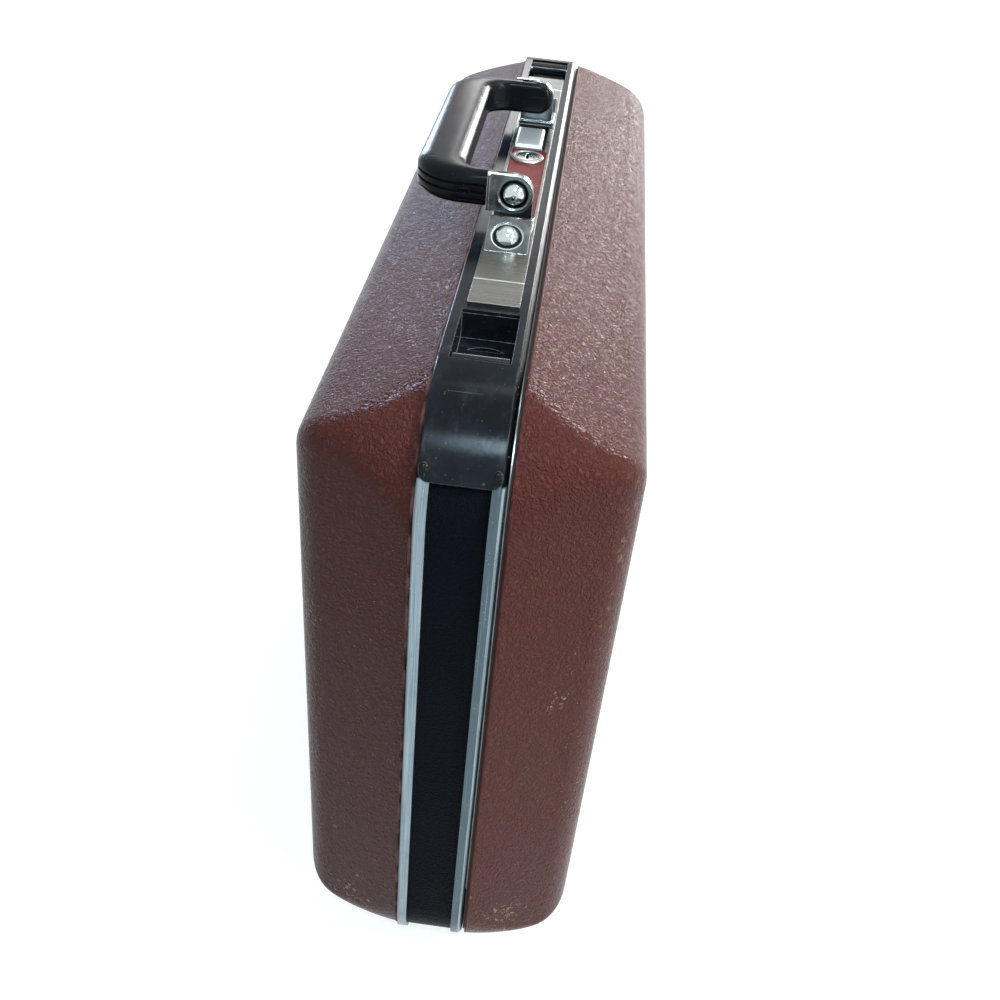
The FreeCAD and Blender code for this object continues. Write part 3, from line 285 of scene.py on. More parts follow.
def build_pebble_grain():
    """Pebbled leather grain: domed cells, fine cells inside them and wandering wrinkles."""
    net, given, result = shader_group("Pebble Grain", {"Place": None, "Pebble": 0.0027, "Wander": 0.5},
                                      ("Height", "Crease Shade", "Cloud"))
    scale = net.math("DIVIDE", 1.0, given["Pebble"])
    reach = net.math("MULTIPLY", given["Pebble"], given["Wander"])
    warped = given["Place"]
    for pace, size in ((0.45, 2.6), (1.7, 0.9)):
        drift = net.node("TexNoise", {"Vector": given["Place"], "Scale": net.math("MULTIPLY", scale, pace),
                                      "Detail": 2.0})
        shift = net.vector("SUBTRACT", drift.outputs["Color"], (0.5, 0.5, 0.5))
        warped = net.vector("ADD", warped, net.scaled(shift, net.math("MULTIPLY", reach, size)))
    large = net.cells(warped, scale, "DISTANCE_TO_EDGE").outputs["Distance"]
    small = net.cells(warped, net.math("MULTIPLY", scale, 2.3), "DISTANCE_TO_EDGE").outputs["Distance"]
    pebble = net.domed(large, 0.50)
    fine = net.domed(small, 0.45)
    folds = []
    for pace in (0.42, 0.95):
        veins = net.noise(warped, net.math("MULTIPLY", scale, pace), 2.0, 0.55)
        folds.append(net.ramp(net.math("ABSOLUTE", net.math("SUBTRACT", veins, 0.5)), 0.0, 0.085))
    wrinkle = net.math("MULTIPLY", folds[0], folds[1])
    pores = net.noise(given["Place"], net.math("MULTIPLY", scale, 5.0), 2.0, 0.6)
    height = net.math("MULTIPLY", pebble, 0.50)
    height = net.math("MULTIPLY_ADD", fine, 0.16, height)
    height = net.math("MULTIPLY_ADD", wrinkle, 0.34, height)
    height = net.math("MULTIPLY_ADD", pores, 0.08, height)
    net.put(result["Height"], height)
    # Crease Shade marks the valleys between pebbles and along the wrinkles, where painted shade goes.
    net.put(result["Crease Shade"], net.math("SUBTRACT", 1.0, net.math("MULTIPLY", pebble, wrinkle), clamp=True))
    net.put(result["Cloud"], net.noise(given["Place"], 9.0, 4.0, 0.55))


def build_scratches():
    """Thin broken scratches that run mostly one way, and short ones across."""
    net, given, result = shader_group("Fine Scratches", {"Place": None, "Amount": 0.5}, ("Mask",))
    long_way = net.noise(net.stretch(given["Place"], (26.0, 900.0, 900.0), (0.2, 0.1, 0.25)), 1.0, 1.0)
    cross_way = net.noise(net.stretch(given["Place"], (700.0, 30.0, 700.0), (0.1, 0.5, -0.6)), 1.0, 1.0)
    patches = net.noise(given["Place"], 60.0, 2.0)
    level = net.math("MULTIPLY_ADD", given["Amount"], -0.10, 0.78)
    upper = net.math("ADD", level, 0.05)
    lines = net.math("MAXIMUM", net.ramp(long_way, level, upper), net.ramp(cross_way, level, upper))
    net.put(result["Mask"], net.math("MULTIPLY", lines, net.ramp(patches, 0.45, 0.6)))


def build_specks():
    """Scattered small flecks: dust, chips and worn points."""
    net, given, result = shader_group("Scattered Specks", {"Place": None, "Size": 0.0015, "Amount": 0.3},
                                      ("Mask",))
    cells = net.cells(given["Place"], net.math("DIVIDE", 1.0, given["Size"]))
    pick = net.parts(cells.outputs["Color"])[0]
    chosen = net.math("GREATER_THAN", pick, net.math("SUBTRACT", 1.0, given["Amount"]))
    ragged = net.noise(given["Place"], net.math("DIVIDE", 2.5, given["Size"]), 2.0)
    radius = net.math("MULTIPLY_ADD", ragged, 0.5, 0.0)
    inside = net.math("LESS_THAN", cells.outputs["Distance"], net.math("MULTIPLY", radius, 0.75))
    net.put(result["Mask"], net.math("MULTIPLY", chosen, inside))


def build_rubbed_patch():
    """One worn place: ragged marks that thin out with distance from its centre."""
    net, given, result = shader_group("Rubbed Patch", {"Place": None, "Centre": None, "Reach": 0.01}, ("Mask",))
    away = net.vector("LENGTH", net.vector("SUBTRACT", given["Place"], given["Centre"]))
    near = net.ramp(net.math("DIVIDE", away, given["Reach"]), 1.0, 0.2)
    marks = net.noise(net.stretch(given["Place"], (520.0, 260.0, 420.0), (0.3, 0.2, 0.6)), 1.0, 4.0, 0.7)
    level = net.math("MULTIPLY_ADD", near, -0.16, 0.72)
    net.put(result["Mask"], net.math("MULTIPLY", near, net.ramp(marks, level, net.math("ADD", level, 0.05))))


def build_worn_edges_and_highlight():
    """Painted highlight and wear: a bright line along every outer edge, from the turn of a rounded normal."""
    net, given, result = shader_group("Worn Edges And Highlight", {"Place": None, "Broken": 0.4}, ("Mask",))
    rounded = net.node("Bevel", {"Radius": 0.00045}, samples=6).outputs["Normal"]
    flat = net.node("NewGeometry").outputs["True Normal"]
    turn = net.ramp(net.vector("DOT_PRODUCT", rounded, flat), 0.985, 0.90)
    gaps = net.ramp(net.noise(given["Place"], 420.0, 3.0, 0.65), 0.30, 0.55)
    kept = net.math("SUBTRACT", 1.0, net.math("MULTIPLY", given["Broken"], net.math("SUBTRACT", 1.0, gaps)))
    net.put(result["Mask"], net.math("MULTIPLY", turn, kept))


def build_dome_seat_shading():
    """Painted shade in a dark groove and a painted highlight on a bright rim round a domed head, by distance from
    the middle of its seat.
    """
    net, given, result = shader_group("Dome Seat Shading", {"Place": None, "Centre": None, "Head": 0.0049},
                                      ("Groove Shade", "Rim Highlight"))
    away = net.vector("LENGTH", net.vector("SUBTRACT", given["Place"], given["Centre"]))
    share = net.math("DIVIDE", away, given["Head"])
    net.put(result["Groove Shade"], net.ramp(share, 1.32, 1.18))
    net.put(result["Rim Highlight"], net.math("MULTIPLY", net.ramp(share, 1.26, 1.34), net.ramp(share, 1.46, 1.38)))


def build_brushing():
    """Fine parallel brush lines along X."""
    net, given, result = shader_group("Brushed Lines", {"Place": None, "Pitch": 0.0004}, ("Height", "Tone"))
    pitch = net.math("DIVIDE", 1.0, given["Pitch"])
    flat = net.node("CombineXYZ", {"X": 18.0, "Y": pitch, "Z": pitch}).outputs["Vector"]
    lines = net.noise(net.vector("MULTIPLY", given["Place"], flat), 1.0, 3.0, 0.7)
    bands = net.noise(net.stretch(given["Place"], (4.0, 90.0, 90.0)), 1.0, 3.0, 0.6)
    net.put(result["Height"], lines)
    net.put(result["Tone"], net.math("MULTIPLY_ADD", lines, 0.5, net.math("MULTIPLY", bands, 0.5)))


def build_flock():
    """Short velvety pile with brushed clouds."""
    net, given, result = shader_group("Flocked Pile", {"Place": None, "Fibre": 0.0005}, ("Height", "Tone"))
    fibre = net.noise(given["Place"], net.math("DIVIDE", 1.0, given["Fibre"]), 3.0, 0.7)
    clouds = net.noise(net.stretch(given["Place"], (14.0, 22.0, 30.0)), 1.0, 4.0, 0.65)
    net.put(result["Height"], fibre)
    net.put(result["Tone"], net.math("MULTIPLY_ADD", fibre, 0.35, net.math("MULTIPLY", clouds, 0.65)))


def build_shader_groups():
    build_pebble_grain()
    build_scratches()
    build_specks()
    build_rubbed_patch()
    build_worn_edges_and_highlight()
    build_dome_seat_shading()
    build_brushing()
    build_flock()


def material(name, roughness=0.5, metallic=0.0, **sockets):
    """New material; returns it, its tree and its Principled shader with plain values set."""
    made = bpy.data.materials.new(name)
    made.use_nodes = True
    shader = made.node_tree.nodes["Principled BSDF"]
    shader.inputs["Roughness"].default_value = roughness
    shader.inputs["Metallic"].default_value = metallic
    net = Tree(made.node_tree)
    for key, value in sockets.items():
        net.put(shader.inputs[key.replace("_", " ")], value)
    return made, net, shader


def dress(made, *nodes):
    for name in nodes:
        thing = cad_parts[name]
        if not thing.material_slots:
            thing.data.materials.append(made)
        for entry in thing.material_slots:
            entry.material = made


def both(name):
    return name + "_near", name + "_far"


# Materials

def vinyl_material(vinyl):
    made, net, shader = material("Brown Vinyl", 0.3, Specular_IOR_Level=0.05)
    place = net.place()
    x, y, z = net.parts(place)[:]
    grain = net.group("Pebble Grain", {"Place": place, "Pebble": vinyl.grain, "Wander": 0.6})
    tone = net.ramp(grain["Cloud"], 0.32, 0.68)
    high = net.ramp(z, 0.10, 0.32)
    fade = net.math("MULTIPLY", tone, net.math("MULTIPLY_ADD", high, 0.70, 0.12))
    skin = net.mix(fade, vinyl.brown, vinyl.faded)
    # Painted shade: the grain's creases darken toward deep brown.
    skin = net.mix(net.math("MULTIPLY", grain["Crease Shade"], 0.55), skin, vinyl.deep)
    chips = net.group("Scattered Specks", {"Place": place, "Size": 0.0060, "Amount": 0.045})["Mask"]
    dust = net.group("Scattered Specks", {"Place": place, "Size": 0.0014, "Amount": 0.035})["Mask"]
    low = net.ramp(z, 0.12, 0.02)
    patch = net.ramp(net.noise(place, 30.0, 3.0), 0.52, 0.62)
    worn = net.math("MULTIPLY", chips, net.math("MULTIPLY_ADD", low, 0.75, 0.05))
    worn = net.math("MAXIMUM", worn, net.math("MULTIPLY", net.math("MULTIPLY", dust, patch), 0.8))
    side = net.math("ABSOLUTE", x)
    outer = net.math("MULTIPLY", net.ramp(side, 0.0520, 0.0590), net.ramp(side, 0.0632, 0.0618))
    bare = net.ramp(net.noise(place, 300.0, 3.0, 0.7), 0.60, 0.68)
    worn = net.math("MAXIMUM", worn, net.math("MULTIPLY", net.math("MULTIPLY", outer, bare), 0.30))
    for centre, reach in SCUFFS:
        rubbed = net.group("Rubbed Patch", {"Place": place, "Centre": centre, "Reach": reach})["Mask"]
        worn = net.math("MAXIMUM", worn, rubbed)
    worn = net.math("MULTIPLY", worn, net.math("MULTIPLY", vinyl.wear, 1.5), clamp=True)
    skin = net.mix(worn, skin, vinyl.scuff)
    net.put(shader.inputs["Base Color"], skin)
    rough = net.math("MULTIPLY_ADD", tone, -0.03, 0.18)
    net.put(shader.inputs["Roughness"], net.math("MULTIPLY_ADD", worn, 0.25, rough))
    raised = net.math("MULTIPLY_ADD", worn, -0.35, grain["Height"])
    net.put(shader.inputs["Normal"], net.bump(raised, vinyl.relief, 1.0))
    return made


def welt_material(vinyl):
    made, net, shader = material("Welt", 0.5, Specular_IOR_Level=0.05)
    place = net.place()
    shade = net.noise(place, 120.0, 3.0)
    x = net.parts(place)[0]
    worn = net.math("MULTIPLY", net.ramp(shade, 0.35, 0.7), net.ramp(x, -0.01, 0.01, 1.0, 0.12))
    net.put(shader.inputs["Base Color"], net.mix(worn, vinyl.deep, (0.17, 0.080, 0.065)))
    net.put(shader.inputs["Normal"], net.bump(net.noise(place, 900.0, 2.0), 0.0001, 0.6))
    return made


def rail_material(metal):
    """Streaked rails: light on the base side, darker by the lid. Painted shadow turns them black beside the trim
    but for a bright line, a painted highlight runs along the lid rail's crest and painted shade darkens the outer
    edges.
    """
    made, net, shader = material("Frame Rails", 0.34, 1.0)
    place = net.place()
    x, y, z = net.parts(place)[:]
    specks = net.group("Scattered Specks", {"Place": place, "Size": 0.0009, "Amount": 0.08})["Mask"]
    scratch = net.group("Fine Scratches", {"Place": place, "Amount": 0.7})["Mask"]
    cloud = net.noise(place, 70.0, 4.0, 0.6)
    streak = net.noise(net.stretch(place, (2600.0, 22.0, 22.0)), 1.0, 3.0, 0.6)
    base = net.mix(net.math("GREATER_THAN", x, 0.0), metal.rail, metal.dark_rail)
    # Painted highlight along the rounded crest of the lid rail.
    crest_highlight = net.math("MULTIPLY", net.ramp(x, 0.01345, 0.01385), net.ramp(x, 0.01480, 0.01430))
    base = net.mix(crest_highlight, base, (0.34, 0.43, 0.47))
    # Painted shade darkening both outer edges, beside the shells.
    edge = net.math("MAXIMUM", net.ramp(x, 0.01440, 0.01500), net.ramp(x, -0.01470, -0.01530))
    base = net.mix(net.math("MULTIPLY", edge, 0.75), base, (0.030, 0.038, 0.044))
    base = net.mix(net.ramp(streak, 0.60, 0.35, 0.0, 0.55), base, (0.075, 0.10, 0.115))
    base = net.mix(net.ramp(streak, 0.58, 0.75, 0.0, 0.55), base, (0.50, 0.60, 0.66))
    base = net.mix(net.math("MULTIPLY", net.ramp(cloud, 0.50, 0.75), 0.45), base, (0.14, 0.165, 0.17))
    # Painted shadow: the rail turns nearly black beside the top trim.
    trim_shadow = net.math("MULTIPLY", net.ramp(z, 0.2965, 0.2975), net.ramp(net.math("ABSOLUTE", x), 0.0131, 0.0134))
    base = net.mix(net.math("MULTIPLY", trim_shadow, net.ramp(x, 0.01390, 0.01410, 0.985, 0.997)), base,
                   (0.0022, 0.0026, 0.0029))
    base = net.mix(net.math("MULTIPLY", specks, 0.55), base, (0.55, 0.62, 0.66))
    base = net.mix(net.math("MULTIPLY", scratch, 0.4), base, (0.05, 0.055, 0.06))
    net.put(shader.inputs["Base Color"], base)
    net.put(shader.inputs["Roughness"], net.math("MULTIPLY_ADD", cloud, 0.22, 0.27))
    net.put(shader.inputs["Normal"], net.bump(net.math("ADD", streak, specks), 0.00005, 0.5))
    return made


def band_material(trim):
    made, net, shader = material("Black Band", 0.3, Specular_IOR_Level=0.010)
    place = net.place()
    grain = net.group("Pebble Grain", {"Place": place, "Pebble": 0.0017, "Wander": 0.7})
    net.put(shader.inputs["Base Color"], net.mix(grain["Cloud"], trim.band, (0.0050, 0.0062, 0.0090)))
    net.put(shader.inputs["Roughness"], net.math("MULTIPLY_ADD", grain["Cloud"], 0.2, 0.20))
    net.put(shader.inputs["Normal"], net.bump(grain["Height"], 0.00034, 0.9))
    return made


def trim_material(trim, name="Black Trim", gloss=0.0):
    made, net, shader = material(name, 0.3, Specular_IOR_Level=0.09 + 0.14 * gloss)
    place = net.place()
    scratch = net.group("Fine Scratches", {"Place": place, "Amount": 0.65})["Mask"]
    specks = net.group("Scattered Specks", {"Place": place, "Size": 0.0008, "Amount": 0.03})["Mask"]
    worn = net.group("Worn Edges And Highlight", {"Place": place, "Broken": 0.8})["Mask"]
    cloud = net.noise(place, 45.0, 4.0, 0.6)
    smear = net.ramp(net.noise(net.stretch(place, (160.0, 90.0, 110.0), (0.3, 0.2, 0.5)), 1.0, 5.0, 0.7), 0.5, 0.8)
    base = net.mix(net.ramp(cloud, 0.35, 0.75), trim.black, (0.009, 0.012, 0.015))
    base = net.mix(net.math("MULTIPLY", smear, 0.05), base, trim.dust)
    base = net.mix(net.math("MULTIPLY", specks, 0.30), base, trim.dust)
    base = net.mix(net.math("MULTIPLY", scratch, 0.14), base, trim.dust)
    # Painted highlight, partly wear: the edges turn pale dust colour, more on the glossy wells and levers.
    base = net.mix(net.math("MULTIPLY", worn, 0.25 + 0.5 * gloss), base, trim.dust)
    net.put(shader.inputs["Base Color"], base)
    rough = net.math("MULTIPLY_ADD", cloud, 0.10, 0.115 - 0.03 * gloss)
    net.put(shader.inputs["Roughness"], net.math("MULTIPLY_ADD", smear, 0.14, rough))
    orange_peel = net.noise(place, 700.0, 2.0)
    rounded = net.node("Bevel", {"Radius": 0.0004}, samples=4).outputs["Normal"]
    net.put(shader.inputs["Normal"], net.bump(net.math("ADD", orange_peel, scratch), 0.00003, 0.5, rounded))
    return made


def plate_material(metal):
    """Brushed across the case, with painted highlights and wear on its edges and a painted highlight line at each
    cover plate's step.
    """
    made, net, shader = material("Brushed Plate", 0.3, 1.0)
    place = net.place()
    brush = net.group("Brushed Lines", {"Place": place, "Pitch": 0.0005})
    scratch = net.group("Fine Scratches", {"Place": place, "Amount": 0.8})["Mask"]
    worn = net.group("Worn Edges And Highlight", {"Place": place, "Broken": 0.15})["Mask"]
    base = net.mix(net.ramp(brush["Tone"], 0.3, 0.7), metal.plate, (0.185, 0.180, 0.160))
    y = net.math("ABSOLUTE", net.parts(place)[1])
    # Painted highlight: a chrome line along the step where each cover plate ends, and painted highlight with wear
    # on the edges.
    step = net.math("MULTIPLY", net.ramp(y, 0.1232, 0.1235), net.ramp(y, 0.1251, 0.1248))
    base = net.mix(net.math("MAXIMUM", step, net.math("MULTIPLY", worn, 0.25)), base, metal.chrome)
    base = net.mix(net.math("MULTIPLY", scratch, 0.35), base, (0.40, 0.40, 0.38))
    net.put(shader.inputs["Base Color"], base)
    rough = net.math("MULTIPLY_ADD", brush["Tone"], 0.2, 0.18)
    net.put(shader.inputs["Roughness"], net.math("MULTIPLY_ADD", worn, 0.10, rough))
    rounded = net.node("Bevel", {"Radius": 0.0003}, samples=4).outputs["Normal"]
    net.put(shader.inputs["Normal"], net.bump(brush["Height"], 0.00002, 0.4, rounded))
    return made


def chrome_material(metal):
    made, net, shader = material("Worn Chrome", 0.1, 1.0)
    place = net.place()
    cloud = net.noise(place, 300.0, 4.0, 0.6)
    scratch = net.group("Fine Scratches", {"Place": place, "Amount": 0.6})["Mask"]
    base = net.mix(net.ramp(cloud, 0.45, 0.75), metal.chrome, (0.36, 0.40, 0.41))
    net.put(shader.inputs["Base Color"], base)
    net.put(shader.inputs["Roughness"], net.math("MULTIPLY_ADD", cloud, 0.14, 0.05))
    rounded = net.node("Bevel", {"Radius": 0.0003}, samples=4).outputs["Normal"]
    net.put(shader.inputs["Normal"], net.bump(net.math("ADD", cloud, scratch), 0.00003, 0.4, rounded))
    return made


def steel_material(metal):
    made, net, shader = material("Plated Steel", 0.35, 1.0)
    place = net.place()
    cloud = net.noise(place, 160.0, 4.0, 0.6)
    lines = net.noise(net.stretch(place, (40.0, 1500.0, 900.0)), 1.0, 2.0)
    net.put(shader.inputs["Base Color"], net.mix(net.ramp(cloud, 0.35, 0.7), metal.steel, (0.36, 0.355, 0.34)))
    net.put(shader.inputs["Roughness"], net.math("MULTIPLY_ADD", cloud, 0.25, 0.22))
    rounded = net.node("Bevel", {"Radius": 0.0003}, samples=4).outputs["Normal"]
    net.put(shader.inputs["Normal"], net.bump(lines, 0.00002, 0.4, rounded))
    return made


def dark_chrome_material(metal, name, share):
    """Smoky plating, with painted highlights and wear on its edges, painted shade in a dark groove round each domed
    head and a painted highlight on the rim beyond it.
    """
    made, net, shader = material(name, 0.2, 1.0)
    place = net.place()
    x, y, z = net.parts(place)[:]
    mirrored = net.node("CombineXYZ", {"X": x, "Y": net.math("ABSOLUTE", y), "Z": z}).outputs["Vector"]
    cloud = net.noise(place, 180.0, 4.0, 0.6)
    scratch = net.group("Fine Scratches", {"Place": place, "Amount": 0.8})["Mask"]
    worn = net.group("Worn Edges And Highlight", {"Place": place, "Broken": 0.3})["Mask"]
    plating = tuple(share * part for part in metal.dark)
    base = net.mix(net.ramp(cloud, 0.4, 0.7), plating, tuple(1.6 * part for part in plating))
    base = net.mix(net.math("MULTIPLY", scratch, 0.5), base, (0.45, 0.46, 0.46))
    # Painted highlight along the edges, partly wear.
    base = net.mix(net.math("MULTIPLY", worn, 0.65), base, metal.chrome)
    for centre in DOME_SEATS:
        # Painted shade in the groove round each dome, painted highlight on the rim outside it.
        seat = net.group("Dome Seat Shading", {"Place": mirrored, "Centre": centre, "Head": 0.0049})
        base = net.mix(seat["Groove Shade"], base, (0.014, 0.017, 0.020))
        base = net.mix(net.math("MULTIPLY", seat["Rim Highlight"], 0.8), base, metal.chrome)
    net.put(shader.inputs["Base Color"], base)
    net.put(shader.inputs["Roughness"], net.math("MULTIPLY_ADD", cloud, 0.2, 0.10))
    rounded = net.node("Bevel", {"Radius": 0.0005}, samples=4).outputs["Normal"]
    net.put(shader.inputs["Normal"], net.bump(cloud, 0.00003, 0.4, rounded))
    return made


def gloss_black_material(trim):
    made, net, shader = material("Gloss Black", 0.14, Specular_IOR_Level=0.075)
    place = net.place()
    scratch = net.group("Fine Scratches", {"Place": place, "Amount": 0.9})["Mask"]
    specks = net.group("Scattered Specks", {"Place": place, "Size": 0.0009, "Amount": 0.03})["Mask"]
    cloud = net.noise(place, 80.0, 4.0, 0.6)
    base = net.mix(net.math("MULTIPLY", net.math("ADD", scratch, specks), 0.12), trim.handle, trim.dust)
    net.put(shader.inputs["Base Color"], base)
    net.put(shader.inputs["Roughness"], net.math("MULTIPLY_ADD", cloud, 0.16, 0.07))
    x, y, z = net.parts(place)[:]
    upper = net.ramp(z, 0.3380, 0.3405)
    bar = net.math("MULTIPLY", net.ramp(x, -0.0160, -0.0215), upper)
    tight = net.node("Bevel", {"Radius": 0.0006}, samples=4).outputs["Normal"]
    wide = net.node("Bevel", {"Radius": 0.0085}, samples=8).outputs["Normal"]
    rounded = net.vector("NORMALIZE", net.mix(bar, tight, wide))
    net.put(shader.inputs["Normal"], net.bump(net.math("ADD", cloud, scratch), 0.00004, 0.3, rounded))
    return made


def red_material(trim):
    made, net, shader = material("Red Lacquer", 0.3, Specular_IOR_Level=0.03)
    place = net.place()
    cloud = net.noise(place, 140.0, 4.0, 0.6)
    net.put(shader.inputs["Base Color"], net.mix(net.ramp(cloud, 0.35, 0.7), trim.red, (0.15, 0.030, 0.026)))
    net.put(shader.inputs["Roughness"], net.math("MULTIPLY_ADD", cloud, 0.2, 0.14))
    net.put(shader.inputs["Normal"], net.bump(cloud, 0.00004, 0.3))
    return made


def satin_material(metal):
    made, net, shader = material("Satin Nickel", 0.4, 1.0)
    place = net.place()
    brush = net.group("Brushed Lines", {"Place": place, "Pitch": 0.0003})
    net.put(shader.inputs["Base Color"], net.mix(brush["Tone"], (0.56, 0.62, 0.64), (0.72, 0.77, 0.78)))
    net.put(shader.inputs["Roughness"], net.math("MULTIPLY_ADD", brush["Tone"], 0.2, 0.32))
    rounded = net.node("Bevel", {"Radius": 0.0024}, samples=8).outputs["Normal"]
    net.put(shader.inputs["Normal"], net.bump(brush["Height"], 0.00002, 0.4, rounded))
    return made


def rubber_material():
    made, net, shader = material("Black Rubber", 0.7, Specular_IOR_Level=0.35)
    place = net.place()
    cloud = net.noise(place, 200.0, 4.0, 0.6)
    net.put(shader.inputs["Base Color"], net.mix(cloud, (0.008, 0.008, 0.009), (0.022, 0.022, 0.022)))
    net.put(shader.inputs["Roughness"], net.math("MULTIPLY_ADD", cloud, 0.2, 0.6))
    net.put(shader.inputs["Normal"], net.bump(net.noise(place, 1800.0, 2.0), 0.00004, 0.5))
    return made


def moulded_material():
    made, net, shader = material("Moulded Plastic", 0.5)
    place = net.place()
    cloud = net.noise(place, 60.0, 4.0, 0.6)
    net.put(shader.inputs["Base Color"], net.mix(cloud, (0.016, 0.016, 0.017), (0.032, 0.031, 0.031)))
    net.put(shader.inputs["Roughness"], net.math("MULTIPLY_ADD", cloud, 0.15, 0.42))
    net.put(shader.inputs["Normal"], net.bump(net.noise(place, 1500.0, 2.0), 0.00004, 0.6))
    return made


def lining_material(inside):
    made, net, shader = material("Flocked Lining", 0.9, Sheen_Weight=0.5, Sheen_Roughness=0.4,
                                 Sheen_Tint=(0.75, 0.60, 0.48), Specular_IOR_Level=0.2)
    place = net.place()
    flock = net.group("Flocked Pile", {"Place": place, "Fibre": 0.0006})
    dark = tuple(0.62 * part for part in inside.lining)
    net.put(shader.inputs["Base Color"], net.mix(net.ramp(flock["Tone"], 0.3, 0.7), dark, inside.lining))
    net.put(shader.inputs["Roughness"], net.math("MULTIPLY_ADD", flock["Tone"], 0.15, 0.80))
    net.put(shader.inputs["Normal"], net.bump(flock["Height"], 0.00025, 0.7))
    return made


def pocket_material(inside, name):
    made, net, shader = material(name, 0.5, Specular_IOR_Level=0.35)
    place = net.place()
    grain = net.group("Pebble Grain", {"Place": place, "Pebble": 0.0016, "Wander": 0.5})
    base = net.mix(grain["Cloud"], inside.pocket, tuple(1.5 * part for part in inside.pocket))
    # Painted shade in the grain's creases.
    base = net.mix(net.math("MULTIPLY", grain["Crease Shade"], 0.5), base, (0.035, 0.016, 0.012))
    net.put(shader.inputs["Base Color"], base)
    net.put(shader.inputs["Roughness"], net.math("MULTIPLY_ADD", grain["Cloud"], 0.15, 0.42))
    net.put(shader.inputs["Normal"], net.bump(grain["Height"], 0.00015, 0.7))
    return made


def thread_material(inside):
    made, net, shader = material("Thread", 0.7, Sheen_Weight=0.3)
    place = net.place()
    twist = net.noise(net.stretch(place, (900.0, 2600.0, 2600.0), (0.0, 0.6, 0.6)), 1.0, 2.0)
    net.put(shader.inputs["Base Color"], net.mix(twist, inside.thread, tuple(0.5 * part for part in inside.thread)))
    net.put(shader.inputs["Normal"], net.bump(twist, 0.0001, 0.7))
    return made


# Shapes

def rounded_outline(inset, corner, steps=8, spans=10):
    """Points round the case's side view, drawn in from the frame's outline by inset."""
    half = HALF_LENGTH - inset
    low = FRAME_BOTTOM + inset
    high = FRAME_TOP - inset
    quarters = ((half - corner, high - corner, 0), (-half + corner, high - corner, 90),
                (-half + corner, low + corner, 180), (half - corner, low + corner, 270))
    bends = []
    for y, z, start in quarters:
        angles = [math.radians(start + 90.0 * step / steps) for step in range(steps + 1)]
        bends.append([Vector((y + corner * math.cos(angle), z + corner * math.sin(angle))) for angle in angles])
    points = []
    for index, bend in enumerate(bends):
        following = bends[(index + 1) % 4][0]
        points += bend
        points += [bend[-1].lerp(following, step / spans) for step in range(1, spans)]
    return points


def new_object(name, mesh, made):
    thing = bpy.data.objects.new(name, mesh)
    bpy.context.scene.collection.objects.link(thing)
    mesh.materials.append(made)
    return thing


def smooth(mesh):
    for face in mesh.polygons:
        face.use_smooth = True


def tube_along(name, points, radius, made, closed=True):
    """Mesh tube through a list of points."""
    ring_count = 8
    work = bmesh.new()
    rings = []
    total = len(points)
    for index, point in enumerate(points):
        before = Vector(points[(index - 1) % total] if closed or index else points[0])
        after = Vector(points[(index + 1) % total] if closed or index < total - 1 else points[-1])
        along = (after - before).normalized()
        side = along.cross(Vector((1.0, 0.0, 0.0)))
        side = side.normalized() if side.length > 1e-6 else Vector((0.0, 1.0, 0.0))
        up = along.cross(side).normalized()
        ring = []
        for step in range(ring_count):
            angle = 2 * math.pi * step / ring_count
            offset = side * math.cos(angle) * radius + up * math.sin(angle) * radius
            ring.append(work.verts.new(Vector(point) + offset))
        rings.append(ring)
    spans = total if closed else total - 1
    for index in range(spans):
        first, second = rings[index], rings[(index + 1) % total]
        for step in range(ring_count):
            following = (step + 1) % ring_count
            work.faces.new((first[step], first[following], second[following], second[step]))
    if not closed:
        work.faces.new(list(reversed(rings[0])))
        work.faces.new(rings[-1])
    mesh = bpy.data.meshes.new(name)
    work.to_mesh(mesh)
    work.free()
    smooth(mesh)
    return new_object(name, mesh, made)


def outline_ring(x, inset, corner):
    return [Vector((x, y, z)) for y, z in rounded_outline(inset, corner)]


def edge_welt(name, x, inset, radius, body, made):
    """Closed cord round the case at one place across its thickness."""
    welt = tube_along(name, outline_ring(x, inset, max(FRAME_CORNER - inset, LEAST_CORNER)), radius, made)
    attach(welt, body)
    return welt


def mesh_from_rings(name, rings, closed_end=True):
    """Skin over rings with the same number of points, the last one closed by a face."""
    work = bmesh.new()
    rows = [[work.verts.new(point) for point in ring] for ring in rings]
    for first, second in zip(rows, rows[1:]):
        for index in range(len(first)):
            following = (index + 1) % len(first)
            work.faces.new((first[index], first[following], second[following], second[index]))
    if closed_end:
        work.faces.new(rows[-1])
    mesh = bpy.data.meshes.new(name)
    work.to_mesh(mesh)
    work.free()
    smooth(mesh)
    return mesh


def thicken(thing, thickness, offset):
    changed = thing.modifiers.new("Thickness", "SOLIDIFY")
    changed.thickness = thickness
    changed.offset = offset


